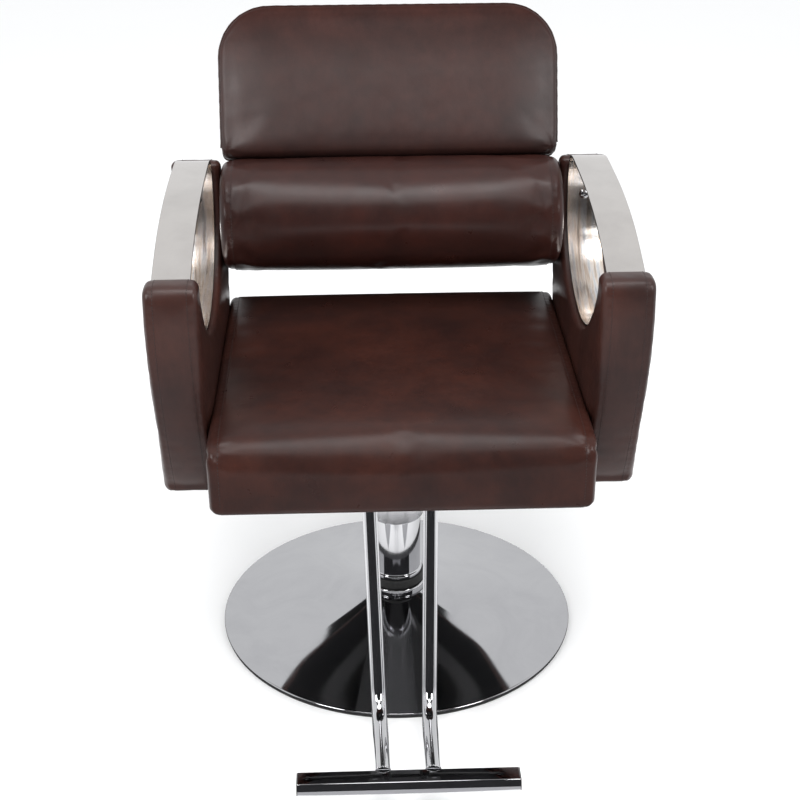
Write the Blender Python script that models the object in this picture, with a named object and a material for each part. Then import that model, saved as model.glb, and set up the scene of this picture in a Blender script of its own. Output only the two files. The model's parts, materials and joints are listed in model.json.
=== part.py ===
"""Hydraulic salon styling chair, in metres, +Z up.

The origin is on the column's axis at floor level, and the sitter faces -Y. Each object is one
physical piece. Pieces that touch keep a gap of GAP, so that their surfaces never share a plane.
"""

import math

import bmesh
import bpy
from mathutils import Matrix, Vector

GAP = 0.0003
BASE_ROUND = 48  # sides of the widest round pieces
COLUMN_ROUND = 28  # sides of the pieces that share the column's axis

# Base
BASE_RADIUS = 0.290
BASE_PLATE_RADIUS = 0.272
BASE_PLATE_THICK = 0.006
COVER_WALL = 0.002
COVER_EDGE_LOW = 0.0045
COVER_EDGE_HIGH = 0.0085
COVER_FLARE = 1.45
NECK_RADIUS = 0.0485
NECK_HEIGHT = 0.058

# Pump column
FLANGE_RADIUS = 0.085
FLANGE_TOP = 0.0143
FLANGE_BOLTS = 3
FLANGE_BOLT_CIRCLE = 0.066
FLANGE_BOLT_START = math.radians(97)
CYLINDER_RADIUS = 0.040
CYLINDER_BORE = 0.030
CYLINDER_FLOOR = 0.020
CYLINDER_TOP = 0.305
COLLAR_TOP = 0.072
GASKET_TOP = 0.088
LIP_HEIGHT = 0.006
LIP_RADIUS = 0.0425
ROD_RADIUS = 0.0225
ROD_SPIGOT_RADIUS = 0.016
ROD_SHOULDER = 0.330
ROD_FOOT = 0.034
ROD_SPIGOT_HEIGHT = 0.022
PISTON_RADIUS = 0.029
PISTON_GROOVE_RADIUS = 0.0265
PISTON_LAND = 0.006
BUSH_LENGTH = 0.035
SEAL_RADIUS = 0.036
SEAL_HEIGHT = 0.006
GASKET_RADIUS = 0.0452
SLEEVE_INSIDE = 0.0412
SLEEVE_RADIUS = 0.0442
SLEEVE_LOW = 0.196

# Foot pump
BRACKET_LOW = 0.0965
BRACKET_TOP = 0.115
EAR_TOP = 0.160
PIVOT = Vector((0.0, 0.057, 0.150))
PEDAL_PIN_RADIUS = 0.004
PIN_HALF_LENGTH = 0.023
PLUNGER_Y = 0.085
PLUNGER_RADIUS = 0.0055
PLUNGER_LOW = 0.109
PLUNGER_TOP = 0.142
PLUNGER_BORE_FLOOR = 0.099
PLUNGER_COLLAR_RADIUS = 0.0095
PLUNGER_COLLAR_LOW = 0.1375
EAR_INSIDE = 0.0122
EAR_OUTSIDE = 0.0200
PEDAL_HALF_WIDTH = 0.0112
SPRING_RADIUS = 0.0085
SPRING_WIRE = 0.0009
SPRING_TURNS = 5

# Seat
SEAT_HALF_WIDTH = 0.264
SEAT_FRONT = -0.345
SEAT_REAR = 0.190
SEAT_LOW = 0.3984
SEAT_TOP = 0.508
BOARD_THICK = 0.015
BOARD_MARGIN = 0.030
SEAT_CORNER = 0.022
DUST_COVER_MARGIN = 0.015
RAIL_SIZE = 0.025
RAIL_LOW = 0.372
RAIL_END_THICK = 0.005
RAIL_END_HALF_LENGTH = 0.036
FRONT_RAIL_Y = -0.110
REAR_RAIL_Y = 0.065
MOUNT_HALF_WIDTH = 0.090
MOUNT_THICK = 0.006
MOUNT_MARGIN = 0.015
MOUNT_BOLT_X = 0.070
HUB_RADIUS = 0.034
HUB_LOW = 0.3366
HUB_BORE_TOP = 0.3551
BOLT_HEAD = 0.0065
BOLT_SHANK = 0.004

# Arms
ARM_INSIDE = 0.2675
ARM_OUTSIDE = 0.3425
ARM_EDGE = 0.012
BAND_INSIDE = 0.281
BAND_OUTSIDE = 0.334
BAND_THICK = 0.003
BAND_SCREWS = ((0.152, 0.694), (-0.095, 0.562))
BAND_SCREW_HEAD = 0.0065
BAND_SCREW_SHANK = 0.003
ARM_BOLT_AWAY = 0.024
BOWL_FRONT_TOP = 0.688
BOWL_REAR_TOP = 0.740

# Backrest, in its own leaning frame: x across, y up the back, z towards the sitter
BACK_ORIGIN = Vector((0.0, 0.190, 0.737))
BACK_LEAN = math.radians(20)
BACK_HALF_WIDTH = 0.267
BACK_HEIGHT = 0.241
BACK_CORNER = 0.075
BACK_PAD_THICK = 0.072
PANEL_THICK = 0.016
LUMBAR_HALF_WIDTH = 0.2638
LUMBAR_HEIGHT = 0.173
LUMBAR_DEPTH = 0.095
LUMBAR_CORNER = 0.015
BACK_SCREW_Y = 0.178
BACK_SCREW_HEIGHTS = (0.632, 0.672)
BACK_SCREW_HEAD = 0.0058
BACK_SCREW_SHANK = 0.003

# Footrest
TUBE_RADIUS = 0.011
TUBE_TOP_X = 0.0455
TUBE_BEND_X = 0.0365
TUBE_END_X = 0.0345
TUBE_TOP = (-0.213, 0.3905)
TUBE_KNEE = (-0.213, 0.353)
TUBE_ANKLE = (-0.357, 0.064)
TUBE_END = (-0.5102, 0.0795)
BAR_HALF_LENGTH = 0.153
BAR_REAR = -0.512
BAR_FRONT = -0.541
BAR_TOP = 0.089
BAR_LOW = 0.072
BAR_CAP_THICK = 0.003
FOOTREST_PLATE_HALF_WIDTH = 0.092
FOOTREST_BOLT_X = 0.076


def clear_scene():
    for old in list(bpy.data.objects):
        bpy.data.objects.remove(old)


def material(name, colour, roughness, metallic=0.0):
    found = bpy.data.materials.get(name)
    if found:
        return found
    made = bpy.data.materials.new(name)
    made.use_nodes = True
    shader = made.node_tree.nodes["Principled BSDF"]
    shader.inputs["Base Color"].default_value = (*colour, 1)
    shader.inputs["Roughness"].default_value = roughness
    shader.inputs["Metallic"].default_value = metallic
    made.diffuse_color = (*colour, 1)
    return made


def chrome():
    return material("chrome", (0.78, 0.78, 0.79), 0.08, 1.0)


def steel():
    return material("steel", (0.48, 0.48, 0.50), 0.35, 1.0)


def brass():
    return material("brass", (0.72, 0.55, 0.24), 0.3, 1.0)


def leather():
    return material("leather", (0.055, 0.022, 0.016), 0.42)


def rubber():
    return material("rubber", (0.018, 0.018, 0.018), 0.7)


def plywood():
    return material("plywood", (0.45, 0.32, 0.19), 0.7)


def black_cloth():
    return material("black_cloth", (0.012, 0.012, 0.012), 0.9)


# ---------------------------------------------------------------- solids


def object_from(mesh, name, finish, sharp_angle=35):
    """Turns a bmesh into a shaded object with its faces pointing out."""
    bmesh.ops.recalc_face_normals(mesh, faces=mesh.faces)
    data = bpy.data.meshes.new(name)
    mesh.to_mesh(data)
    mesh.free()
    data.shade_smooth()
    data.set_sharp_from_angle(angle=math.radians(sharp_angle))
    data.materials.append(finish)
    made = bpy.data.objects.new(name, data)
    bpy.context.scene.collection.objects.link(made)
    return made


def ring_of(mesh, radius, height, segments):
    if radius == 0:
        return [mesh.verts.new((0, 0, height))]
    turn = 2 * math.pi / segments
    return [
        mesh.verts.new((radius * math.cos(i * turn), radius * math.sin(i * turn), height))
        for i in range(segments)
    ]


def join_rings(mesh, first, second):
    """Faces between two rings, either of which may be a single point on the axis."""
    count = max(len(first), len(second))
    if count == 1:
        return
    for i in range(count):
        following = (i + 1) % count
        if len(first) == 1:
            mesh.faces.new((first[0], second[i], second[following]))
        elif len(second) == 1:
            mesh.faces.new((first[i], first[following], second[0]))
        else:
            mesh.faces.new((first[i], first[following], second[following], second[i]))


def lathe(name, profile, finish, segments=COLUMN_ROUND):
    """Turns a closed outline of (radius, height) points about Z."""
    mesh = bmesh.new()
    rings = [ring_of(mesh, radius, height, segments) for radius, height in profile]
    for first, second in zip(rings, rings[1:] + rings[:1]):
        join_rings(mesh, first, second)
    return object_from(mesh, name, finish)


def collar(name, inside, outside, low, high, finish, chamfer=0.0, segments=COLUMN_ROUND):
    """A plain ring with its two outer corners chamfered."""
    profile = [(inside, low), (outside - chamfer, low), (outside, low + chamfer)]
    profile += [(outside, high - chamfer), (outside - chamfer, high), (inside, high)]
    if not chamfer:
        profile = [(inside, low), (outside, low), (outside, high), (inside, high)]
    return lathe(name, profile, finish, segments)


def placed(made, at, along=(0, 0, 1)):
    """Moves an object built about Z so that its Z runs along a direction from a point."""
    turn = Vector(along).to_track_quat("Z", "Y").to_matrix().to_4x4()
    made.matrix_world = Matrix.Translation(at) @ turn
    return made


def spread(across, point, axis):
    """A 3D point from a position along an axis and the two coordinates across it."""
    first, second = point
    if axis == "X":
        return (across, first, second)
    return (first, second, across)


def rings_prism(name, rings, axis, finish):
    """Joins flat outlines, each at its own place along an axis, and closes both ends."""
    mesh = bmesh.new()
    loops = []
    for across, outline in rings:
        loops.append([mesh.verts.new(spread(across, point, axis)) for point in outline])
    for first, second in zip(loops, loops[1:]):
        join_rings(mesh, first, second)
    mesh.faces.new(loops[0])
    mesh.faces.new(loops[-1])
    return object_from(mesh, name, finish)


def inset(outline, distance):
    """Moves every side of a counter-clockwise outline inwards."""
    moved = []
    for i, point in enumerate(outline):
        here = Vector(point)
        before = (here - Vector(outline[i - 1])).normalized()
        after = (Vector(outline[(i + 1) % len(outline)]) - here).normalized()
        normals = Vector((-before.y, before.x)), Vector((-after.y, after.x))
        middle = (normals[0] + normals[1]).normalized()
        reach = distance / max(middle.dot(normals[0]), 0.5)
        moved.append(tuple(here + middle * reach))
    return moved


def pillow_prism(name, outline, low, high, radius, axis, finish, steps=2):
    """A prism whose end faces are rounded over by a quarter circle."""
    ends = []
    for i in range(steps + 1):
        angle = math.pi / 2 * i / steps
        ends.append((radius * (1 - math.sin(angle)), radius * (1 - math.cos(angle))))
    rings = [(low + along, inset(outline, narrower)) for along, narrower in reversed(ends)]
    rings += [(high - along, inset(outline, narrower)) for along, narrower in ends]
    rings.sort(key=lambda ring: ring[0])
    return rings_prism(name, rings, axis, finish)


def box(name, low, high, finish, bevel=0.0):
    mesh = bmesh.new()
    bmesh.ops.create_cube(mesh, size=1)
    low, high = Vector(low), Vector(high)
    for vert in mesh.verts:
        vert.co = Vector((c + 0.5) * (h - l) + l for c, l, h in zip(vert.co, low, high))
    made = object_from(mesh, name, finish)
    if bevel:
        rounding = made.modifiers.new("bevel", "BEVEL")
        rounding.width = bevel
        rounding.segments = 2
    return made


def cut(made, *cutters):
    """Takes cutters away from an object. The cutters stay in the file as hidden helpers."""
    for cutter in cutters:
        cutter.hide_render = True
        cutter.display_type = "WIRE"
        boolean = made.modifiers.new(cutter.name, "BOOLEAN")
        boolean.operation = "DIFFERENCE"
        boolean.object = cutter
    return made


def join(made, other):
    """Adds a helper solid to an object."""
    other.hide_render = True
    other.display_type = "WIRE"
    boolean = made.modifiers.new(other.name, "BOOLEAN")
    boolean.operation = "UNION"
    boolean.object = other
    return made


def rod_cutter(name, radius, at, along, length, segments=12):
    """A round cutter that starts at a point and runs along a direction."""
    profile = [(0, 0), (radius, 0), (radius, length), (0, length)]
    return placed(lathe(name, profile, steel(), segments), at, along)


# ---------------------------------------------------------------- outlines


def smooth(points, closed=False, steps=4):
    """Points along a Catmull-Rom curve through a few given ones."""
    count = len(points)
    found = []
    for i in range(count if closed else count - 1):
        if closed:
            near = [Vector(points[(i + k) % count]) for k in (-1, 0, 1, 2)]
        else:
            near = [Vector(points[min(max(i + k, 0), count - 1)]) for k in (-1, 0, 1, 2)]
        for k in range(steps):
            t = k / steps
            a, b, c, d = near
            curve = 2 * b + (c - a) * t + (2 * a - 5 * b + 4 * c - d) * t**2
            found.append(tuple((curve + (3 * b - a - 3 * c + d) * t**3) / 2))
    if not closed:
        found.append(tuple(points[-1]))
    return found


def arc(centre, radius, start, end, steps):
    """Points on a circular arc, angles in degrees."""
    found = []
    for i in range(steps + 1):
        angle = math.radians(start + (end - start) * i / steps)
        found.append((centre[0] + radius * math.cos(angle), centre[1] + radius * math.sin(angle)))
    return found


def rounded_rectangle(low, high, radii, steps=5):
    """Counter-clockwise, with radii for the lower and the upper corners."""
    lower, upper = radii
    points = arc((high[0] - lower, low[1] + lower), lower, -90, 0, steps)
    points += arc((high[0] - upper, high[1] - upper), upper, 0, 90, steps)
    points += arc((low[0] + upper, high[1] - upper), upper, 90, 180, steps)
    points += arc((low[0] + lower, low[1] + lower), lower, 180, 270, steps)
    return points


def rounded_route(corners, radius, steps=6):
    """A path through 3D corners with each inner corner replaced by an arc."""
    path = [Vector(corners[0])]
    for before, here, after in zip(corners, corners[1:], corners[2:]):
        here = Vector(here)
        back, ahead = (Vector(before) - here).normalized(), (Vector(after) - here).normalized()
        half = back.angle(ahead) / 2
        centre = here + (back + ahead).normalized() * (radius / math.sin(half))
        start = here + back * (radius / math.tan(half))
        end = here + ahead * (radius / math.tan(half))
        first, last = (start - centre).normalized(), (end - centre).normalized()
        for i in range(steps + 1):
            path.append(centre + first.slerp(last, i / steps) * radius)
    return path + [Vector(corners[-1])]


def sweep(name, path, radius, finish, resolution=3):
    """A round bar along a path."""
    curve = bpy.data.curves.new(name, "CURVE")
    curve.dimensions = "3D"
    curve.bevel_depth = radius
    curve.bevel_resolution = resolution
    curve.use_fill_caps = True
    spline = curve.splines.new("POLY")
    spline.points.add(len(path) - 1)
    for point, place in zip(spline.points, path):
        point.co = (*place, 1)
    curve.materials.append(finish)
    made = bpy.data.objects.new(name, curve)
    bpy.context.scene.collection.objects.link(made)
    return made


# ---------------------------------------------------------------- fasteners


def hex_bolt(name, at, along, head, shank, length):
    """A bolt whose head stands behind a point and whose shank runs along a direction."""
    profile = [(0, -head), (head, -head), (head, 0), (shank, 0), (shank, length), (0, length)]
    return placed(lathe(name, profile, steel(), 6), at, along)


def button_screw(name, at, along, head, shank, length):
    """A screw with a domed head."""
    dome = [(0, -head * 0.62), (head * 0.55, -head * 0.52), (head * 0.9, -head * 0.24)]
    profile = dome + [(head, 0), (shank, 0), (shank, length), (0, length)]
    return placed(lathe(name, profile, chrome(), 12), at, along)


def countersunk(name, at, along, head, shank, length, extra=0.0):
    """A flush screw. With extra it is the hole that the screw sits in."""
    depth = head - shank
    profile = [(0, -extra), (head + extra, -extra), (shank + extra, depth)]
    profile += [(shank + extra, length + extra), (0, length + extra)]
    return placed(lathe(name, profile, steel(), 12), at, along)


# ---------------------------------------------------------------- base and pump


def cover_height(radius):
    """Height of the base cover's outer surface: nearly flat at the rim, steeper at the neck."""
    inwards = (BASE_RADIUS - radius) / (BASE_RADIUS - NECK_RADIUS)
    return COVER_EDGE_HIGH + (NECK_HEIGHT - COVER_EDGE_HIGH) * inwards**COVER_FLARE


def make_base():
    """The floor plate, the rubber ring around it and the flared cover over both."""
    radius, top = BASE_PLATE_RADIUS, BASE_PLATE_THICK
    base_plate = lathe("base_plate", [(0, 0), (radius, 0), (radius, top), (0, top)], steel(), BASE_ROUND)
    ring_width = radius + GAP, BASE_RADIUS - 0.0015
    ring_height = 0, COVER_EDGE_LOW - GAP
    collar("base_trim_ring", *ring_width, *ring_height, rubber(), segments=BASE_ROUND)
    steps = 8
    radii = [BASE_RADIUS + (NECK_RADIUS - BASE_RADIUS) * i / steps for i in range(steps + 1)]
    outer = [(radius, cover_height(radius)) for radius in radii]
    inner = [(min(r, BASE_RADIUS - COVER_WALL), z - COVER_WALL) for r, z in reversed(outer)]
    inner.append((BASE_RADIUS - COVER_WALL, COVER_EDGE_LOW))
    lathe("base_cover", [(BASE_RADIUS, COVER_EDGE_LOW)] + outer + inner, chrome(), BASE_ROUND)
    return base_plate


def make_pump_cylinder():
    """A flanged tube, closed below, with a bright lip that rests on the neck gasket."""
    floor = BASE_PLATE_THICK + GAP
    lip_low, lip_top = GASKET_TOP + GAP, GASKET_TOP + LIP_HEIGHT
    profile = [(0, floor), (FLANGE_RADIUS, floor), (FLANGE_RADIUS, FLANGE_TOP)]
    profile += [(CYLINDER_RADIUS, FLANGE_TOP), (CYLINDER_RADIUS, lip_low), (LIP_RADIUS, lip_low)]
    profile += [(LIP_RADIUS, lip_top), (CYLINDER_RADIUS, lip_top + 0.0015)]
    profile += [(CYLINDER_RADIUS, CYLINDER_TOP), (CYLINDER_BORE, CYLINDER_TOP)]
    profile += [(CYLINDER_BORE, CYLINDER_FLOOR), (0, CYLINDER_FLOOR)]
    return lathe("pump_cylinder", profile, chrome())


def make_flange_bolts(base_plate, cylinder):
    head, shank, length = 0.006, 0.003, 0.012
    hole_floor = 0.001
    for i in range(FLANGE_BOLTS):
        angle = 2 * math.pi * i / FLANGE_BOLTS + FLANGE_BOLT_START
        x, y = FLANGE_BOLT_CIRCLE * math.cos(angle), FLANGE_BOLT_CIRCLE * math.sin(angle)
        hex_bolt(f"flange_bolt_{i + 1}", (x, y, FLANGE_TOP + GAP), (0, 0, -1), head, shank, length)
        hole = rod_cutter(f"flange_hole_{i + 1}", shank + GAP, (x, y, hole_floor), (0, 0, 1), FLANGE_TOP)
        cut(cylinder, hole)
        cut(base_plate, hole)


def make_column():
    """The rings round the cylinder, and the piston rod with its seal and bearing."""
    inside, outside = CYLINDER_RADIUS + GAP, ROD_RADIUS + GAP
    collar("neck_collar", inside, NECK_RADIUS, NECK_HEIGHT + GAP, COLLAR_TOP, chrome(), 0.0015)
    collar("neck_gasket", inside, GASKET_RADIUS, COLLAR_TOP + GAP, GASKET_TOP, rubber(), 0.0015)
    bush = CYLINDER_TOP - BUSH_LENGTH, CYLINDER_TOP - GAP
    collar("guide_bush", outside, CYLINDER_BORE - GAP, *bush, brass())
    seal = CYLINDER_TOP + GAP, CYLINDER_TOP + SEAL_HEIGHT
    collar("rod_seal", outside, SEAL_RADIUS, *seal, rubber(), 0.001)
    lands = [ROD_FOOT + i * PISTON_LAND for i in range(4)]
    spigot_top = ROD_SHOULDER + ROD_SPIGOT_HEIGHT
    profile = [(0, lands[0]), (PISTON_RADIUS, lands[0]), (PISTON_RADIUS, lands[1])]
    profile += [(PISTON_GROOVE_RADIUS, lands[1]), (PISTON_GROOVE_RADIUS, lands[2])]
    profile += [(PISTON_RADIUS, lands[2]), (PISTON_RADIUS, lands[3]), (ROD_RADIUS, lands[3])]
    profile += [(ROD_RADIUS, ROD_SHOULDER), (ROD_SPIGOT_RADIUS, ROD_SHOULDER)]
    profile += [(ROD_SPIGOT_RADIUS, spigot_top), (0, spigot_top)]
    lathe("piston_rod", profile, chrome())
    groove = lands[1] + GAP, lands[2] - GAP
    collar("piston_seal", PISTON_GROOVE_RADIUS + GAP, CYLINDER_BORE - GAP, *groove, rubber())
    bearing = ROD_SHOULDER + GAP, HUB_LOW - GAP
    collar("swivel_bearing", ROD_SPIGOT_RADIUS + GAP, 0.024, *bearing, brass())


def make_pedal_bracket():
    """A block behind the cylinder: a plunger bore low down, and two ears for the pedal's pin."""
    front, rear, ear_rear = 0.030, 0.100, 0.068
    low, high = (-0.022, front, BRACKET_LOW), (0.022, rear, BRACKET_TOP)
    bracket = box("pedal_bracket", low, high, steel())
    for side, name in ((-1, "left"), (1, "right")):
        inside, outside = sorted((side * EAR_INSIDE, side * EAR_OUTSIDE))
        low, high = (inside, front, BRACKET_TOP - 0.003), (outside, ear_rear, EAR_TOP)
        join(bracket, box(f"ear_{name}", low, high, steel()))
    clear = CYLINDER_RADIUS + GAP
    column = rod_cutter("bracket_seat", clear, (0, 0, 0.08), (0, 0, 1), 0.1, COLUMN_ROUND)
    floor = (0, PLUNGER_Y, PLUNGER_BORE_FLOOR)
    bore = rod_cutter("plunger_bore", PLUNGER_RADIUS + GAP, floor, (0, 0, 1), 0.03, 16)
    start = PIVOT - Vector((0.03, 0, 0))
    pin_hole = rod_cutter("pin_hole", PEDAL_PIN_RADIUS + GAP, start, (1, 0, 0), 0.06)
    cut(bracket, column, bore, pin_hole)
    return pin_hole


def make_pedal(pin_hole):
    """The lever, cranked down to the rear, with the rubber pad on its outer end and its pin."""
    y, z = PIVOT.y, PIVOT.z
    upper = [(y - 0.008, z + 0.005), (y + 0.05, z + 0.003), (0.150, 0.141), (0.205, 0.1235)]
    upper.append((0.2850, 0.1155))
    lower = [(y - 0.008, z - 0.0065), (y + 0.05, z - 0.0065), (0.150, 0.1300), (0.205, 0.1130)]
    lower.append((0.2850, 0.1085))
    outline = smooth(lower, steps=3) + smooth(upper[::-1], steps=3)
    rings = [(-PEDAL_HALF_WIDTH, outline), (PEDAL_HALF_WIDTH, outline)]
    arm = rings_prism("pedal_arm", rings, "X", chrome())
    move_origin(arm, PIVOT)
    cut(arm, pin_hole)
    near, far, thick = (0.213, 0.1239), (0.2840, 0.1166), 0.011
    outline = [near, far, (far[0], far[1] + thick), (near[0], near[1] + thick)]
    pad = pillow_prism("pedal_pad", outline, -0.030, 0.030, 0.004, "X", rubber())
    move_origin(pad, PIVOT)
    radius, length = PEDAL_PIN_RADIUS, 2 * PIN_HALF_LENGTH
    pin = lathe("pedal_pin", [(0, 0), (radius, 0), (radius, length), (0, length)], steel(), 16)
    placed(pin, PIVOT - Vector((PIN_HALF_LENGTH, 0, 0)), (1, 0, 0))


def move_origin(made, point):
    """Puts an object's origin on a point without moving its shape."""
    made.data.transform(Matrix.Translation(-Vector(point)))
    made.location = point


def make_plunger():
    """The pump's plunger: the lever pushes its round head, and a spring lifts its collar."""
    profile = [(0, PLUNGER_LOW), (PLUNGER_RADIUS, PLUNGER_LOW), (PLUNGER_RADIUS, PLUNGER_COLLAR_LOW)]
    profile += [(PLUNGER_COLLAR_RADIUS, PLUNGER_COLLAR_LOW)]
    profile += [(PLUNGER_COLLAR_RADIUS, PLUNGER_COLLAR_LOW + 0.002)]
    profile += [(0.005, PLUNGER_TOP - 0.0008), (0, PLUNGER_TOP)]
    made = lathe("pump_plunger", profile, steel(), 16)
    made.location = (0, PLUNGER_Y, 0)
    low = BRACKET_TOP + SPRING_WIRE + GAP
    high = PLUNGER_COLLAR_LOW - SPRING_WIRE - GAP
    steps = 8 * SPRING_TURNS
    path = []
    for i in range(steps + 1):
        angle = 2 * math.pi * SPRING_TURNS * i / steps
        x, y = SPRING_RADIUS * math.cos(angle), SPRING_RADIUS * math.sin(angle)
        path.append((x, PLUNGER_Y + y, low + (high - low) * i / steps))
    sweep("pedal_spring", path, SPRING_WIRE, steel(), 1)


# ---------------------------------------------------------------- seat


def make_seat_mount():
    """The plate that the seat is bolted to, with the hub that sits on the piston rod."""
    top = RAIL_LOW - GAP
    low = (-MOUNT_HALF_WIDTH, FRONT_RAIL_Y - MOUNT_MARGIN, top - MOUNT_THICK)
    mount = box("seat_mount", low, (MOUNT_HALF_WIDTH, REAR_RAIL_Y + MOUNT_MARGIN, top), steel())
    chamfer, hub_top = 0.002, top - MOUNT_THICK / 2
    hub = [(0, HUB_LOW), (HUB_RADIUS - chamfer, HUB_LOW), (HUB_RADIUS, HUB_LOW + chamfer)]
    hub += [(HUB_RADIUS, hub_top), (0, hub_top)]
    join(mount, lathe("mount_hub", hub, steel()))
    below = (0, 0, HUB_LOW - 0.01)
    depth = HUB_BORE_TOP - below[2]
    cut(mount, rod_cutter("hub_bore", ROD_SPIGOT_RADIUS + GAP, below, (0, 0, 1), depth, COLUMN_ROUND))
    make_column_sleeve(top - MOUNT_THICK - GAP)
    return mount


def make_column_sleeve(top):
    """The bright tube that hangs from the mount and slides over the cylinder."""
    chamfer = 0.001
    profile = [(SLEEVE_INSIDE, SLEEVE_LOW), (SLEEVE_RADIUS - chamfer, SLEEVE_LOW)]
    profile += [(SLEEVE_RADIUS, SLEEVE_LOW + chamfer), (SLEEVE_RADIUS, top), (SLEEVE_INSIDE, top)]
    lathe("column_sleeve", profile, chrome())


def make_rail(name, y):
    """A square bar across the seat with a plate welded on each end."""
    reach, half = ARM_INSIDE - GAP, RAIL_SIZE / 2
    bar_reach, top = reach - RAIL_END_THICK / 2, RAIL_LOW + RAIL_SIZE
    rail = box(name, (-bar_reach, y - half, RAIL_LOW), (bar_reach, y + half, top), steel())
    for side, end in ((-1, "left"), (1, "right")):
        inside, outside = sorted((side * (reach - RAIL_END_THICK), side * reach))
        low = (inside, y - RAIL_END_HALF_LENGTH, RAIL_LOW)
        high = (outside, y + RAIL_END_HALF_LENGTH, top - GAP)
        join(rail, box(f"{name}_end_{end}", low, high, steel()))
    return rail


def bolt_mount(mount, rails):
    """Bolts up through the mount plate into each rail."""
    length, number = 0.018, 0
    for rail, y in rails:
        for side in (-1, 1):
            number += 1
            at = (side * MOUNT_BOLT_X, y, RAIL_LOW - MOUNT_THICK - 2 * GAP)
            hex_bolt(f"mount_bolt_{number}", at, (0, 0, 1), BOLT_HEAD, BOLT_SHANK, length)
            hole = rod_cutter(f"mount_hole_{number}", BOLT_SHANK + GAP, at, (0, 0, 1), length + 0.0025)
            cut(mount, hole)
            cut(rail, hole)


def make_seat():
    """The cushion, the board let into its underside and the black cloth below both."""
    low, high = (-SEAT_HALF_WIDTH, SEAT_FRONT), (SEAT_HALF_WIDTH, SEAT_REAR)
    outline = rounded_rectangle(low, high, (SEAT_CORNER, SEAT_CORNER), 4)
    cushion = pillow_prism("seat_cushion", outline, SEAT_LOW, SEAT_TOP, 0.018, "Z", leather(), 3)
    side, top = SEAT_HALF_WIDTH - BOARD_MARGIN, SEAT_LOW + BOARD_THICK
    front, rear = SEAT_FRONT + BOARD_MARGIN, SEAT_REAR - BOARD_MARGIN
    board = box("seat_board", (-side, front, SEAT_LOW), (side, rear, top), plywood())
    low = (-side - GAP, front - GAP, SEAT_LOW - 0.01)
    recess = box("board_recess", low, (side + GAP, rear + GAP, top + GAP), plywood())
    cut(cushion, recess)
    side = SEAT_HALF_WIDTH - DUST_COVER_MARGIN
    low = (-side, SEAT_FRONT + DUST_COVER_MARGIN, RAIL_LOW + RAIL_SIZE + GAP)
    high = (side, SEAT_REAR - DUST_COVER_MARGIN, SEAT_LOW - GAP)
    return board, box("seat_dust_cover", low, high, black_cloth())


# ---------------------------------------------------------------- arms


def band_line():
    """Middle of the chrome band, side on as (y, z): an arched top, then a deep bowl below."""
    top = [(-0.232, 0.7025), (-0.146, 0.7320), (-0.050, 0.7485), (0.055, 0.7545), (0.128, 0.7535)]
    rear = [(0.1480, 0.7360), (0.1520, 0.6900), (0.1350, 0.6330)]
    bowl = [(0.085, 0.5840), (0.020, 0.5590), (-0.050, 0.5530), (-0.120, 0.5730)]
    front = [(-0.180, 0.6130), (-0.224, 0.6600), (-0.2410, 0.6910)]
    return smooth(top + rear + bowl + front, closed=True, steps=3)[::-1]


def band_rings(line, half_thickness):
    return inset(line, -half_thickness), inset(line, half_thickness)


def make_band(name, side, line):
    """A closed flat strip: the armrest above, and the lining of the opening below."""
    outer, inner = band_rings(line, BAND_THICK / 2)
    near, far = sorted((side * BAND_INSIDE, side * BAND_OUTSIDE))
    mesh = bmesh.new()
    corners = ((near, outer), (far, outer), (far, inner), (near, inner))
    loops = [[mesh.verts.new((x, y, z)) for y, z in outline] for x, outline in corners]
    for first, second in zip(loops, loops[1:] + loops[:1]):
        join_rings(mesh, first, second)
    return object_from(mesh, name, chrome())


def arm_outline(line):
    """The padded panel, side on: outer edge first, then back along the outside of the band."""
    edge = [(-0.2895, 0.6920), (-0.2920, 0.6400), (-0.2850, 0.5750), (-0.2640, 0.5020)]
    edge += [(-0.2340, 0.4300), (-0.1990, 0.3700), (-0.1500, 0.3420), (-0.0400, 0.3370)]
    edge += [(0.0700, 0.3440), (0.1400, 0.3950)]
    edge += [(0.1880, 0.5000), (0.2090, 0.6000), (0.2070, 0.6650), (0.2000, 0.7130)]
    edge = [(-0.2790, 0.7035)] + smooth(edge, steps=2) + [(0.1860, 0.7400), (0.1590, 0.7500)]
    beside = inset(line, -(BAND_THICK / 2 + GAP))[::-1]
    highest = max(range(len(beside)), key=lambda i: beside[i][1])
    beside = beside[highest:] + beside[:highest]
    bowl = [p for p in beside if p[1] < BOWL_REAR_TOP and (p[0] > 0 or p[1] < BOWL_FRONT_TOP)]
    return edge + bowl + [(bowl[-1][0] - 0.009, 0.7030)]


def make_arm(name, side, line):
    near, far = sorted((side * ARM_INSIDE, side * ARM_OUTSIDE))
    return pillow_prism(name, arm_outline(line), near, far, ARM_EDGE, "X", leather())


def band_spot(line, near):
    """The point of the band's line nearest to a place, and the direction out of the opening there."""
    count = len(line)
    i = min(range(count), key=lambda k: (Vector(line[k]) - Vector(near)).length)
    before, after = Vector(line[i - 1]), Vector(line[(i + 1) % count])
    run = (after - before).normalized()
    return Vector(line[i]), Vector((0, run.y, -run.x))


def make_band_screws(side, name, band, panel, line):
    """Domed screws inside the band, driven square to its surface into the panel."""
    middle = side * (BAND_INSIDE + BAND_OUTSIDE) / 2
    for number, place in enumerate(BAND_SCREWS, 1):
        spot, along = band_spot(line, place)
        at = Vector((middle, *spot)) - along * (BAND_THICK / 2 + 2 * GAP)
        button_screw(f"band_screw_{name}_{number}", at, along, BAND_SCREW_HEAD, BAND_SCREW_SHANK, 0.022)
        start, width = at - along * 0.01, BAND_SCREW_SHANK + GAP
        hole = rod_cutter(f"band_hole_{name}_{number}", width, start, along, 0.0335)
        cut(band, hole)
        cut(panel, hole)


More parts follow.
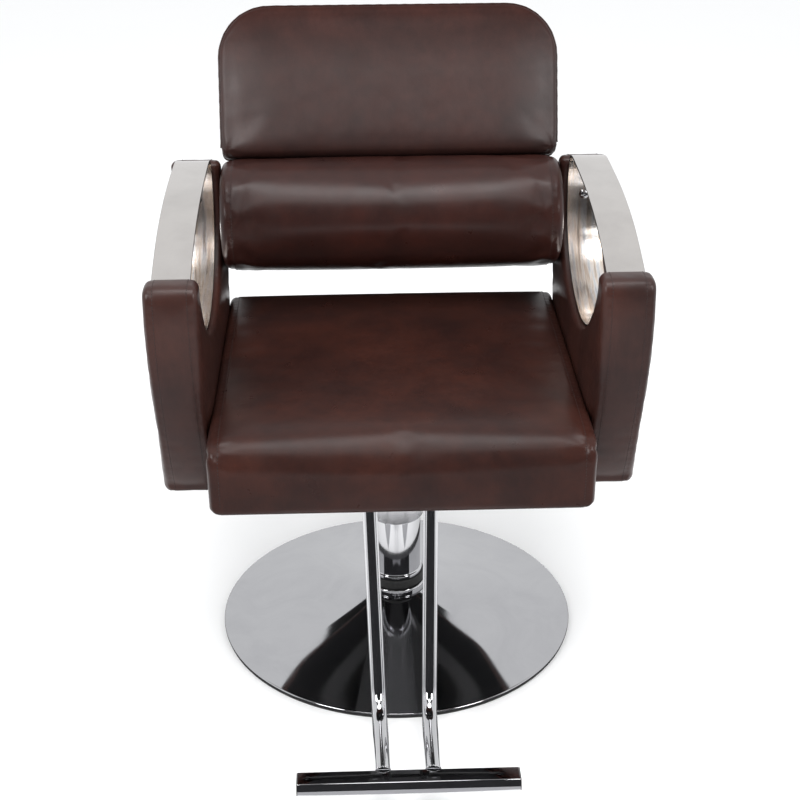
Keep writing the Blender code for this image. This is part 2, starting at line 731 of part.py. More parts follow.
def make_arm_bolts(side, name, panel, rails):
    """Bolts through the rails' end plates into the panel's lower edge."""
    length = 0.034
    for place, rail, y in rails:
        away = -ARM_BOLT_AWAY if place == "front" else ARM_BOLT_AWAY
        x = ARM_INSIDE - RAIL_END_THICK - 2 * GAP
        at = (side * x, y + away, RAIL_LOW + RAIL_SIZE / 2)
        hex_bolt(f"arm_bolt_{name}_{place}", at, (side, 0, 0), BOLT_HEAD, BOLT_SHANK, length)
        hole = rod_cutter(f"arm_hole_{name}_{place}", BOLT_SHANK + GAP, at, (side, 0, 0), length + 0.002)
        cut(rail, hole)
        cut(panel, hole)


# ---------------------------------------------------------------- backrest


def lean(made):
    """Places an object from the backrest's leaning frame into the chair."""
    turn = Matrix.Rotation(math.pi / 2 - BACK_LEAN, 4, "X")
    made.matrix_world = Matrix.Translation(BACK_ORIGIN) @ turn
    return made


def make_backrest():
    """The upper cushion, and the thin upholstered panel behind it and the lumbar cushion."""
    low, high = (-BACK_HALF_WIDTH, 0.002), (BACK_HALF_WIDTH, BACK_HEIGHT)
    outline = rounded_rectangle(low, high, (0.010, BACK_CORNER), 6)
    lean(pillow_prism("upper_back_cushion", outline, -BACK_PAD_THICK, 0, 0.018, "Z", leather()))
    width = LUMBAR_HALF_WIDTH - 0.002
    low, high = (-width, 0.006 - LUMBAR_HEIGHT), (width, BACK_HEIGHT - 0.004)
    outline = rounded_rectangle(low, high, (0.020, BACK_CORNER), 6)
    rear = -BACK_PAD_THICK - GAP
    lean(pillow_prism("rear_panel", outline, rear - PANEL_THICK, rear, 0.004, "Z", leather()))


def make_lumbar():
    """A bolster whose section is flat behind and half of an ellipse in front."""
    half, middle = LUMBAR_HEIGHT / 2, -LUMBAR_HEIGHT / 2 - 0.001
    steps, fullness = 16, 0.85
    front = []
    for i in range(steps + 1):
        angle = math.pi * i / steps
        out = LUMBAR_DEPTH * max(math.sin(angle), 0) ** fullness
        front.append((middle - half * math.cos(angle), out))
    corner, flat = LUMBAR_CORNER, LUMBAR_CORNER - BACK_PAD_THICK
    behind = arc((middle + half - corner, flat), corner, 0, -90, 3)
    behind += arc((middle - half + corner, flat), corner, -90, -180, 3)
    outline = (front + behind)[::-1]
    # The prism runs along X, so the outline's two values are the leaning frame's y and z.
    width = LUMBAR_HALF_WIDTH
    lean(pillow_prism("lumbar_cushion", outline, -width, width, 0.012, "X", leather()))


def make_back_brackets(panels):
    """Thin plates welded to the back's frame, screwed to the arms' inner faces."""
    low, high = LUMBAR_HALF_WIDTH + GAP, ARM_INSIDE - GAP
    size = BACK_SCREW_HEAD, BACK_SCREW_SHANK, 0.032
    for side, name, panel in panels:
        inside, outside = sorted((side * low, side * high))
        bracket = box(f"back_bracket_{name}", (inside, 0.140, 0.615), (outside, 0.212, 0.690), steel())
        for number, z in enumerate(BACK_SCREW_HEIGHTS, 1):
            at, along = (side * low, BACK_SCREW_Y, z), (side, 0, 0)
            countersunk(f"back_screw_{name}_{number}", at, along, *size)
            hole = countersunk(f"back_hole_{name}_{number}", at, along, *size, GAP)
            cut(bracket, hole)
            cut(panel, hole)


# ---------------------------------------------------------------- footrest


def make_footrest(board, dust_cover):
    """Two bent tubes from under the seat, side by side, to a bar across their ends."""
    for side, name in ((-1, "left"), (1, "right")):
        corners = [(side * TUBE_TOP_X, *TUBE_TOP), (side * TUBE_TOP_X, *TUBE_KNEE)]
        corners += [(side * TUBE_BEND_X, *TUBE_ANKLE), (side * TUBE_END_X, *TUBE_END)]
        sweep(f"footrest_tube_{name}", rounded_route(corners, 0.030), TUBE_RADIUS, chrome(), 4)
    middle, chamfer = (BAR_REAR + BAR_FRONT) / 2, 0.002
    section = [(BAR_REAR, BAR_LOW + chamfer), (BAR_REAR, BAR_TOP), (BAR_FRONT + chamfer, BAR_TOP)]
    section += [(BAR_FRONT, BAR_TOP - chamfer), (BAR_FRONT - chamfer, BAR_TOP - 4 * chamfer)]
    section += [(BAR_FRONT, BAR_LOW), (middle, BAR_LOW - chamfer / 2)]
    length = BAR_HALF_LENGTH - BAR_CAP_THICK
    rings_prism("foot_bar", [(-length, section), (length, section)], "X", chrome())
    for side, name in ((-1, "left"), (1, "right")):
        near, far = sorted((side * (length + GAP), side * BAR_HALF_LENGTH))
        rings_prism(f"foot_bar_cap_{name}", [(near, section), (far, section)], "X", rubber())
    make_footrest_plate(board, dust_cover)


def make_footrest_plate(board, dust_cover):
    """The plate that the tubes are welded under, bolted up into the seat board."""
    low, top, length = TUBE_TOP[1] + GAP, RAIL_LOW + RAIL_SIZE, 0.018
    width, y = FOOTREST_PLATE_HALF_WIDTH, TUBE_TOP[0]
    plate = box("footrest_plate", (-width, y - 0.032, low), (width, y + 0.048, top), steel())
    for number, side in enumerate((-1, 1), 1):
        at = (side * FOOTREST_BOLT_X, y + 0.020, low - GAP)
        hex_bolt(f"footrest_bolt_{number}", at, (0, 0, 1), BOLT_HEAD, BOLT_SHANK, length)
        hole = rod_cutter(f"footrest_hole_{number}", BOLT_SHANK + GAP, at, (0, 0, 1), length + 0.002)
        for holed in (plate, dust_cover, board):
            cut(holed, hole)


def main():
    clear_scene()
    base_plate = make_base()
    cylinder = make_pump_cylinder()
    make_flange_bolts(base_plate, cylinder)
    make_column()
    make_pedal(make_pedal_bracket())
    make_plunger()
    mount = make_seat_mount()
    front, rear = make_rail("rail_front", FRONT_RAIL_Y), make_rail("rail_rear", REAR_RAIL_Y)
    bolt_mount(mount, ((front, FRONT_RAIL_Y), (rear, REAR_RAIL_Y)))
    board, dust_cover = make_seat()
    line = band_line()
    panels = []
    for side, name in ((-1, "left"), (1, "right")):
        band = make_band(f"arm_band_{name}", side, line)
        panel = make_arm(f"arm_panel_{name}", side, line)
        make_band_screws(side, name, band, panel, line)
        rails = ("front", front, FRONT_RAIL_Y), ("rear", rear, REAR_RAIL_Y)
        make_arm_bolts(side, name, panel, rails)
        panels.append((side, name, panel))
    make_backrest()
    make_lumbar()
    make_back_brackets(panels)
    make_footrest(board, dust_cover)


main()
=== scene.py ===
"""Looks of the salon chair: upholstery, chrome, stage, lights and camera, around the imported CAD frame."""

import json
import math

import bmesh
import bpy
import numpy as np
from mathutils import Matrix, Vector, geometry
from mathutils.bvhtree import BVHTree


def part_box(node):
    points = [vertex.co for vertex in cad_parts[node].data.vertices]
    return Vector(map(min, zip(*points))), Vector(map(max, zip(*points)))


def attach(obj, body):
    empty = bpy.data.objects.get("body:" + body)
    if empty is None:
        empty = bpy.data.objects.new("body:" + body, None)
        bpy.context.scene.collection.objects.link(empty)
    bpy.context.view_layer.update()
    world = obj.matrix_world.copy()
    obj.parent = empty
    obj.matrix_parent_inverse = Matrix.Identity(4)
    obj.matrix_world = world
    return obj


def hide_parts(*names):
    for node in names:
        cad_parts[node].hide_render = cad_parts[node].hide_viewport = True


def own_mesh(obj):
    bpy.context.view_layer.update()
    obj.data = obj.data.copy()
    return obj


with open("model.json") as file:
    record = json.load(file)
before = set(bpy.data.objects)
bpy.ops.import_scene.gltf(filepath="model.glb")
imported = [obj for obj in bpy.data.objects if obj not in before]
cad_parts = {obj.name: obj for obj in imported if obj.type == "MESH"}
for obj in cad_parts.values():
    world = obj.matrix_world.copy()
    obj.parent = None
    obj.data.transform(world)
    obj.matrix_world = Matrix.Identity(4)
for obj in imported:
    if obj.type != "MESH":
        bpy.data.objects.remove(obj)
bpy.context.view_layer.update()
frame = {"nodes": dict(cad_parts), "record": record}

NODES = frame["nodes"]
SIDES = ((-1, "left"), (1, "right"))


# ---------------------------------------------------------------- driving dimensions, in metres


def width_of(node):
    """The middle of a CAD node's width, and half of that width."""
    low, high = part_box(node)
    return (low.x + high.x) / 2, (high.x - low.x) / 2


ROUND = 128  # sides of the round chrome pieces
ARC_STEPS = 12  # parts of a rounded corner of a cushion
FABRIC = 0.008  # spacing of the upholstery's points
SEAM_STEP = 0.006  # spacing of the points along a seam
SEAM_REACH = 0.004  # a seam holds the leather about this far around it
SWELL_FRAMES = 20  # length of the cloth simulation
STITCH_PITCH, STITCH_LENGTH, THREAD_RADIUS = 0.0046, 0.0034, 0.00048
MATTE_FROM, MATTE_RISE = 0.868, 0.080  # the back's leather loses its gloss from this height, over this rise

RAIL_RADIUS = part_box("base_cover")[1].x
COVER_LOW, COVER_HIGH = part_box("base_cover")[0].z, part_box("base_cover")[1].z
NECK_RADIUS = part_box("neck_collar")[1].x
COVER_FLARE = 1.80  # power of the cover's steeper part, near the neck
COVER_CONE = 0.42  # share of the cover's rise that is a plain cone
COVER_EDGE = 0.0085  # height of the cover's rim

ARM_MIDDLE, ARM_REACH = width_of("arm_panel_right")
BAND_MIDDLE, BAND_REACH = width_of("arm_band_right")
BAND_THICK = 0.003
BAND_GAP = 0.0003

BACK_LEAN = math.radians(20)
BACK_ORIGIN = Vector((0, 0.190, 0.737))
BACK_FRAME = Matrix.Translation(BACK_ORIGIN) @ Matrix.Rotation(math.pi / 2 - BACK_LEAN, 4, "X")
BACK_HALF_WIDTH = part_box("upper_back_cushion")[1].x
BACK_HEIGHT = 0.241
BACK_CORNER = 0.080
BACK_THICK = 0.072
LUMBAR_HALF_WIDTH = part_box("lumbar_cushion")[1].x
LUMBAR_HEIGHT = 0.173
LUMBAR_DEPTH = 0.095


# ---------------------------------------------------------------- materials


class Look:
    """A procedural material: a Principled shader and the nodes that feed it."""

    def __init__(self, name, colour, roughness, metallic=0.0):
        self.material = bpy.data.materials.new(name)
        self.material.use_nodes = True
        self.tree = self.material.node_tree
        self.shader = self.tree.nodes["Principled BSDF"]
        self.set("Base Color", colour)
        self.set("Roughness", roughness)
        self.set("Metallic", metallic)
        self.place = self.node("ShaderNodeTexCoord").outputs["Object"]

    def node(self, kind, **settings):
        made = self.tree.nodes.new(kind)
        for name, value in settings.items():
            setattr(made, name, value)
        return made

    def link(self, source, target):
        self.tree.links.new(source, target)

    def feed(self, socket, value):
        """Links a socket to another node's output, or sets it to a colour or a number."""
        if isinstance(value, bpy.types.NodeSocket):
            self.link(value, socket)
        else:
            socket.default_value = (*value, 1) if isinstance(value, tuple) else value

    def set(self, name, value):
        """Feeds one of the shader's own inputs."""
        self.feed(self.shader.inputs[name], value)

    def axes(self):
        """The object's coordinates, one at a time."""
        apart = self.node("ShaderNodeSeparateXYZ")
        self.link(self.place, apart.inputs[0])
        return apart.outputs

    def stretched(self, scale):
        """The object's coordinates, scaled along each axis."""
        mapping = self.node("ShaderNodeMapping")
        mapping.inputs["Scale"].default_value = scale
        self.link(self.place, mapping.inputs["Vector"])
        return mapping.outputs["Vector"]

    def noise(self, scale, detail=3.0, rough=0.55, distortion=0.0, place=None):
        made = self.node("ShaderNodeTexNoise")
        self.link(place or self.place, made.inputs["Vector"])
        made.inputs["Scale"].default_value = scale
        made.inputs["Detail"].default_value = detail
        made.inputs["Roughness"].default_value = rough
        made.inputs["Distortion"].default_value = distortion
        return made.outputs["Fac"]

    def cells(self, scale, feature="F1"):
        made = self.node("ShaderNodeTexVoronoi", feature=feature)
        self.link(self.place, made.inputs["Vector"])
        made.inputs["Scale"].default_value = scale
        return made.outputs["Distance"]

    def ramp(self, source, *stops):
        """Maps a value to a colour or, with single numbers, to a grey."""
        made = self.node("ShaderNodeValToRGB")
        self.link(source, made.inputs["Fac"])
        while len(made.color_ramp.elements) < len(stops):
            made.color_ramp.elements.new(0.5)
        for element, (position, value) in zip(made.color_ramp.elements, stops):
            element.position = position
            element.color = (*value, 1) if isinstance(value, tuple) else (value, value, value, 1)
        return made.outputs["Color"]

    def mix(self, first, second, amount, blend="MIX"):
        made = self.node("ShaderNodeMix", data_type="RGBA", blend_type=blend)
        for index, value in ((6, first), (7, second), (0, amount)):
            self.feed(made.inputs[index], value)
        return made.outputs[2]

    def maths(self, operation, first, second=0.0):
        made = self.node("ShaderNodeMath", operation=operation)
        self.feed(made.inputs[0], first)
        self.feed(made.inputs[1], second)
        return made.outputs[0]

    def colour(self, first, second, amount, blend="MIX"):
        self.set("Base Color", self.mix(first, second, amount, blend))

    def roughness(self, source, *stops):
        self.set("Roughness", self.ramp(source, *stops))

    def bump(self, height, strength, distance, below=None):
        made = self.node("ShaderNodeBump")
        self.link(height, made.inputs["Height"])
        made.inputs["Strength"].default_value = strength
        made.inputs["Distance"].default_value = distance
        if below is not None:
            self.link(below, made.inputs["Normal"])
        self.link(made.outputs["Normal"], self.shader.inputs["Normal"])
        return made.outputs["Normal"]


def leather_look(name, dark, warm, shift, shine=0.30, smooth=0.27, matte_from=None):
    """Smooth dark leather: cloudy colour, a fine pebble grain and faint creases.

    shift moves the pattern, so that each piece has its own. Above the height matte_from, the gloss fades."""
    deepest, matte = (0.012, 0.006, 0.006), 0.04
    look = Look(name, dark, 0.42)
    look.set("Specular IOR Level", shine)
    if matte_from:
        above = look.maths("SUBTRACT", look.axes()["Z"], matte_from)
        share = look.maths("MULTIPLY", above, 1 / MATTE_RISE)
        look.set("Specular IOR Level", look.ramp(share, (0.0, shine), (1.0, matte)))
    moved = look.node("ShaderNodeVectorMath", operation="ADD")
    look.link(look.place, moved.inputs[0])
    moved.inputs[1].default_value = (shift, shift * 0.7, shift * 0.3)
    look.place = moved.outputs[0]
    clouds = look.ramp(look.noise(9, 5, 0.65), (0.30, 0.0), (0.80, 1.0))
    mottle = look.ramp(look.noise(45, 5, 0.7), (0.30, 0.0), (0.75, 1.0))
    streaks = look.noise(1.0, 4, 0.65, place=look.stretched((160, 160, 24)))
    base = look.mix(look.mix(dark, warm, clouds), deepest, look.maths("MULTIPLY", mottle, 0.32))
    base = look.mix(base, look.mix((0.7, 0.7, 0.7), (1.25, 1.22, 1.22), streaks), 0.6, "MULTIPLY")
    grain = look.cells(620)
    look.colour(base, look.ramp(grain, (0.25, 1.0), (0.75, 0.84)), 0.5, "MULTIPLY")
    look.roughness(look.noise(30, 4, 0.6), (0.30, smooth), (0.72, smooth + 0.09))
    creases = look.bump(look.noise(24, 4, 0.5), 0.08, 0.0014)
    look.bump(grain, 0.07, 0.0003, creases)
    return look.material


def metal_look(name, colour, smooth, worn, scale=14.0, streak=None, metallic=1.0):
    """Bare or plated metal with faint smudges. With streak it also has brush lines along one axis, and bands
    of painted reflection in its colour along them.
    """
    look = Look(name, colour, smooth, metallic)
    look.roughness(look.noise(scale, 5, 0.62, 0.8), (0.35, smooth), (0.75, worn))
    if streak:
        lines = look.noise(1.0, 4, 0.65, 0.3, look.stretched(streak))
        # Painted reflections: dark, tan, white and blue bands in the colour, along the brush lines.
        mirrored_dark, tan, clear, blue = (0.34, 0.30, 0.28), (0.86, 0.76, 0.66), (1.0, 1.0, 1.0), (0.72, 0.79, 0.88)
        reflection_bands = look.ramp(lines, (0.34, mirrored_dark), (0.44, tan), (0.53, clear), (0.62, blue), (0.70, mirrored_dark))
        look.colour(colour, reflection_bands, 0.85, "MULTIPLY")
        look.bump(lines, 0.12, 0.0005)
    else:
        tint = tuple(c * 0.90 for c in colour)
        look.colour(colour, tint, look.ramp(look.noise(scale * 0.6, 4), (0.4, 0.0), (0.7, 1.0)))
        look.bump(look.noise(230, 2), 0.012, 0.0002)
    return look.material


def spun_chrome_look():
    """Chrome with the faint rings that spinning the sheet leaves, about the column's axis."""
    look = Look("spun_chrome", (0.47, 0.47, 0.485), 0.05, 1.0)
    squares = [look.maths("POWER", look.maths("ABSOLUTE", axis), 2.0) for axis in look.axes()[:2]]
    radius = look.maths("SQRT", look.maths("ADD", *squares))
    rings = look.node("ShaderNodeTexNoise", noise_dimensions="1D")
    look.link(look.maths("MULTIPLY", radius, 900.0), rings.inputs["W"])
    rings.inputs["Scale"].default_value = 1.0
    smudges = look.noise(9, 5, 0.6, 1.2)
    look.roughness(smudges, (0.30, 0.035), (0.80, 0.085))
    look.colour((0.475, 0.475, 0.488), (0.43, 0.43, 0.445), look.ramp(smudges, (0.4, 0.0), (0.8, 1.0)))
    look.bump(rings.outputs["Fac"], 0.025, 0.0002)
    return look.material


def rubber_look(name, colour):
    look = Look(name, colour, 0.62)
    specks = look.noise(260, 4, 0.6)
    worn = tuple(c * 2.2 + 0.004 for c in colour)
    look.colour(colour, worn, look.ramp(specks, (0.45, 0.0), (0.8, 1.0)))
    look.roughness(look.noise(40, 3), (0.3, 0.52), (0.7, 0.72))
    look.bump(specks, 0.12, 0.0004)
    return look.material


def painted_look():
    """Satin black powder coat with its fine orange peel."""
    look = Look("powder_coat", (0.020, 0.020, 0.021), 0.38)
    look.colour((0.017, 0.017, 0.018), (0.032, 0.031, 0.031), look.noise(25, 4))
    look.roughness(look.noise(60, 3), (0.3, 0.32), (0.7, 0.46))
    look.bump(look.cells(700, "SMOOTH_F1"), 0.10, 0.0003)
    return look.material


def plywood_look():
    look = Look("birch_plywood", (0.48, 0.34, 0.20), 0.62)
    growth = look.noise(1.0, 5, 0.6, 0.8, look.stretched((14, 120, 400)))
    look.colour((0.36, 0.23, 0.12), (0.62, 0.46, 0.29), growth)
    look.bump(growth, 0.2, 0.0004)
    return look.material


def cloth_look():
    """Black non-woven cloth, tacked under the seat."""
    look = Look("dust_cloth", (0.010, 0.010, 0.011), 0.92)
    fibres = look.noise(1.0, 6, 0.75, 1.5, look.stretched((420, 300, 300)))
    look.colour((0.006, 0.006, 0.007), (0.020, 0.020, 0.021), fibres)
    look.bump(fibres, 0.35, 0.0005)
    look.set("Sheen Weight", 0.05)
    look.set("Specular IOR Level", 0.1)
    return look.material


def thread_look():
    look = Look("thread", (0.018, 0.008, 0.007), 0.6)
    twist = look.noise(1400, 2)
    look.colour((0.012, 0.005, 0.0045), (0.030, 0.013, 0.011), twist)
    look.bump(twist, 0.4, 0.0003)
    return look.material


# Copies of one leather, each set a little darker or lighter to match the light that falls on its piece:
# painted light and shade.
LEATHER = {
    "seat": leather_look("leather_seat", (0.0200, 0.0085, 0.0072), (0.052, 0.0160, 0.0105), 0.0, 0.20),
    "back": leather_look(
        "leather_back", (0.024, 0.0105, 0.0090), (0.052, 0.0178, 0.0135), 3.1, 0.47, 0.40, MATTE_FROM
    ),
    "lumbar": leather_look("leather_lumbar", (0.020, 0.0078, 0.0066), (0.047, 0.0130, 0.0090), 5.7),
    "arm": leather_look("leather_arm", (0.025, 0.0100, 0.0082), (0.054, 0.0175, 0.0120), 8.3, 0.34, 0.31),
}
CHROME = metal_look("chrome", (0.58, 0.58, 0.595), 0.035, 0.085)
SPUN = spun_chrome_look()
STRIP = metal_look("armrest_steel", (0.60, 0.572, 0.552), 0.13, 0.22, 22.0)
# The liner's colour carries painted reflections along its brush lines.
LINER = metal_look("armrest_liner", (0.80, 0.76, 0.73), 0.15, 0.24, 30.0, (130, 7, 7))
# Painted shade: the dark finish of the armrest strip's side faces, a dark line along its edges.
EDGE = metal_look("band_edge_shade", (0.10, 0.095, 0.09), 0.35, 0.5)
SATIN = metal_look("satin_chrome", (0.80, 0.80, 0.82), 0.17, 0.27, 18.0, metallic=0.9)
STEEL = metal_look("bare_steel", (0.42, 0.42, 0.43), 0.28, 0.42)
BRASS = metal_look("brass", (0.62, 0.46, 0.20), 0.22, 0.36)
RUBBER = rubber_look("black_rubber", (0.012, 0.012, 0.012))
PAINT = painted_look()
PLYWOOD = plywood_look()
CLOTH = cloth_look()
THREAD = thread_look()


# ---------------------------------------------------------------- mesh tools


def linked(name, data):
    """A new object in the scene."""
    made = bpy.data.objects.new(name, data)
    bpy.context.scene.collection.objects.link(made)
    return made


def object_from(mesh, name, finish, sharp=None):
    """Turns a bmesh into an object shaded smooth, with its faces pointing out."""
    bmesh.ops.recalc_face_normals(mesh, faces=mesh.faces)
    data = bpy.data.meshes.new(name)
    mesh.to_mesh(data)
    mesh.free()
    data.shade_smooth()
    if sharp:
        data.set_sharp_from_angle(angle=math.radians(sharp))
    data.materials.append(finish)
    return linked(name, data)


def piece(made, body, slot, *nodes):
    """Puts a finished piece on its body and hides the CAD nodes that it stands for. The slot is not used."""
    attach(made, body)
    if nodes:
        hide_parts(*nodes)
    return made


def joined_rings(mesh, rings, closed=False):
    """Faces between rings of points. A ring may be one point, on the axis or at an end."""
    pairs = list(zip(rings, rings[1:] + rings[:1])) if closed else list(zip(rings, rings[1:]))
    for first, second in pairs:
        count = max(len(first), len(second))
        for i in range(count if count > 1 else 0):
            j = (i + 1) % count
            if len(first) == 1:
                mesh.faces.new((first[0], second[i], second[j]))
            elif len(second) == 1:
                mesh.faces.new((first[i], first[j], second[0]))
            else:
                mesh.faces.new((first[i], first[j], second[j], second[i]))


def softened(profile, radius):
    """A closed outline with its corners rounded. Points on the axis stay as they are."""
    steps = 4
    count = len(profile)
    found = []
    for i, point in enumerate(profile):
        here = Vector(point)
        back, ahead = Vector(profile[i - 1]) - here, Vector(profile[(i + 1) % count]) - here
        reach = min(radius, back.length * 0.45, ahead.length * 0.45)
        if abs(here.x) < 1e-6 or reach < 1e-5 or back.angle(ahead) > math.radians(165):
            found.append(tuple(here))
            continue
        start, end = here + back.normalized() * reach, here + ahead.normalized() * reach
        for k in range(steps + 1):
            t = k / steps
            found.append(tuple((1 - t) ** 2 * start + 2 * t * (1 - t) * here + t**2 * end))
    return found


def circle(mesh, sides, place):
    """A ring of points. place turns the cosine and sine of each one's angle into its position."""
    angles = [2 * math.pi * k / sides for k in range(sides)]
    return [mesh.verts.new(place(math.cos(angle), math.sin(angle))) for angle in angles]


def lathe(name, profile, finish, round_by=0.0, segments=ROUND, closed=True):
    """Turns an outline of (radius, height) points about Z."""
    if round_by:
        profile = softened(profile, round_by)
    mesh = bmesh.new()
    rings = []
    for radius, height in profile:
        if radius < 1e-6:
            rings.append([mesh.verts.new((0, 0, height))])
        else:
            rings.append(circle(mesh, segments, lambda c, s: (radius * c, radius * s, height)))
    joined_rings(mesh, rings, closed)
    return object_from(mesh, name, finish, 32)


def turned(made, at, along):
    """Moves a mesh built about Z so that its Z runs along a direction from a point."""
    turn = Vector(along).to_track_quat("Z", "Y").to_matrix().to_4x4()
    made.data.transform(Matrix.Translation(at) @ turn)
    return made


def frames_along(path, closed):
    """At each point of a path, two directions across it, turning as little as can be."""
    count = len(path)
    runs = []
    for i in range(count):
        before = path[i - 1] if closed or i else path[0]
        after = path[(i + 1) % count] if closed or i < count - 1 else path[-1]
        runs.append((after - before).normalized())
    side = runs[0].orthogonal().normalized()
    found = []
    for run in runs:
        side = (side - run * side.dot(run)).normalized()
        found.append((side, run.cross(side)))
    return found


def tube(name, path, radius, finish, sides, closed=False):
    """A round bar along a path."""
    path = [Vector(p) for p in path]
    mesh = bmesh.new()
    rings = []
    for point, (side, up) in zip(path, frames_along(path, closed)):
        rings.append(circle(mesh, sides, lambda c, s: point + side * (c * radius) + up * (s * radius)))
    if not closed:
        rings = [[mesh.verts.new(path[0])]] + rings + [[mesh.verts.new(path[-1])]]
    joined_rings(mesh, rings, closed)
    return object_from(mesh, name, finish, 40)


def smooth(points, steps, closed=False):
    """Points along a Catmull-Rom curve through a few given ones."""
    count = len(points)
    found = []
    for i in range(count if closed else count - 1):
        near = [(i + k) % count if closed else min(max(i + k, 0), count - 1) for k in (-1, 0, 1, 2)]
        a, b, c, d = (Vector(points[n]) for n in near)
        for k in range(steps):
            t = k / steps
            curve = 2 * b + (c - a) * t + (2 * a - 5 * b + 4 * c - d) * t**2
            found.append((curve + (3 * b - a - 3 * c + d) * t**3) / 2)
    if not closed:
        found.append(Vector(points[-1]))
    return found


def corner_arc(before, here, after, radius):
    """The arc that rounds a corner: its centre, and the directions from there to its two ends."""
    back, ahead = (Vector(before) - here).normalized(), (Vector(after) - here).normalized()
    half = back.angle(ahead) / 2
    reach = radius / math.tan(half)
    centre = here + (back + ahead).normalized() * (radius / math.sin(half))
    return centre, (here + back * reach - centre).normalized(), (here + ahead * reach - centre).normalized()


def rounded_route(corners, radii, steps):
    """A path through 3D corners with each inner corner replaced by an arc."""
    path = [Vector(corners[0])]
    for before, here, after, radius in zip(corners, corners[1:], corners[2:], radii):
        centre, first, last = corner_arc(before, Vector(here), after, radius)
        path += [centre + first.slerp(last, i / steps) * radius for i in range(steps + 1)]
    return path + [Vector(corners[-1])]


def rounded_corners(corners, radii):
    """A closed flat outline through corners, each with its own radius."""
    found = []
    for i, radius in enumerate(radii):
        after = corners[(i + 1) % len(corners)]
        centre, start, end = corner_arc(corners[i - 1], Vector(corners[i]), after, radius)
        turn = start.angle_signed(end)
        for k in range(ARC_STEPS + 1):
            angle = -turn * k / ARC_STEPS
            c, s = math.cos(angle), math.sin(angle)
            found.append(centre + Vector((start.x * c - start.y * s, start.x * s + start.y * c)) * radius)
    return found


def array_of(points):
    return np.array([tuple(p) for p in points])


def walked(path, closed):
    """A path's points, back to the first one if it is closed, and how far along it each one is."""
    points = array_of(path)
    if closed:
        points = np.vstack([points, points[:1]])
    return points, np.concatenate([[0], np.cumsum(np.linalg.norm(np.diff(points, axis=0), axis=1))])


def placed(points, along, wanted):
    """Points at the wanted distances along a path."""
    return np.column_stack([np.interp(wanted, along, points[:, k]) for k in range(points.shape[1])])


def even(outline, spacing):
    """The same closed outline with its points a steady distance apart."""
    points, along = walked(outline, True)
    count = int(round(along[-1] / spacing))
    return placed(points, along, np.arange(count) * along[-1] / count)


def spaced(path, pitch, closed):
    """Points a steady distance apart along a 3D path, from its first point to its last."""
    points, along = walked(path, closed)
    count = max(int(along[-1] / pitch), 2)
    wanted = np.linspace(0, along[-1], count, endpoint=not closed)
    return [Vector(p) for p in placed(points, along, wanted)]


def distances(points, outline):
    """Distance of each point to a closed outline."""
    nearest = np.full(len(points), np.inf)
    for start, run in zip(outline, np.roll(outline, -1, 0) - outline):
        apart = points - start
        share = np.clip((apart * run).sum(1) / (run**2).sum(), 0, 1)
        nearest = np.minimum(nearest, np.linalg.norm(apart - share[:, None] * run, axis=1))
    return nearest


def inside(points, outline):
    """Which points lie inside a closed outline."""
    x, y = points[:, 0][:, None], points[:, 1][:, None]
    x1, y1 = outline[:, 0], outline[:, 1]
    x2, y2 = np.roll(x1, -1), np.roll(y1, -1)
    with np.errstate(divide="ignore", invalid="ignore"):
        crosses = ((y1 > y) != (y2 > y)) & (x < (x2 - x1) * (y - y1) / (y2 - y1) + x1)
    return crosses.sum(1) % 2 == 1


def filled(outline, roll, spacing):
    """Triangles over the inside of an outline, finer near its edge: points, distances in and faces."""
    ahead = np.roll(outline, -1, 0) - np.roll(outline, 1, 0)
    inward = np.column_stack([-ahead[:, 1], ahead[:, 0]])
    inward /= np.linalg.norm(inward, axis=1)[:, None]
    rows, narrowest = 6, 0.0012
    depths = [roll * (1 - math.cos(math.pi / 2 * row / rows)) for row in range(rows + 1)]
    kept = [outline]
    for before, depth in zip(depths, depths[1:]):
        ring = outline + inward * depth
        ring = ring[inside(ring, outline)]
        ring = ring[distances(ring, outline) > 0.93 * depth]
        near = np.vstack(kept[-2:])
        gap = max(depth - before, narrowest) * 0.55
        chosen = []
        for point in ring:
            if np.min(np.linalg.norm(near - point, axis=1)) < gap:
                continue
            if chosen and np.min(np.linalg.norm(np.array(chosen[-40:]) - point, axis=1)) < spacing * 0.3:
                continue
            chosen.append(point)
        kept.append(np.array(chosen).reshape(-1, 2))
    low, high = outline.min(0), outline.max(0)
    grid = []
    for k, row in enumerate(np.arange(low[1], high[1], spacing * 0.866)):
        start = low[0] + (spacing / 2 if k % 2 else 0)
        grid += [(x, row) for x in np.arange(start, high[0], spacing)]
    grid = np.array(grid)
    grid = grid[inside(grid, outline)]
    grid = grid[distances(grid, outline) > roll + spacing * 0.45]
    points = np.vstack(kept + [grid])
    count = len(outline)
    edges = [(i, (i + 1) % count) for i in range(count)]
    made = geometry.delaunay_2d_cdt([Vector(p) for p in points], edges, [], 1, 1e-7)
    points = array_of(made[0])
    return points, distances(points, outline), made[2]


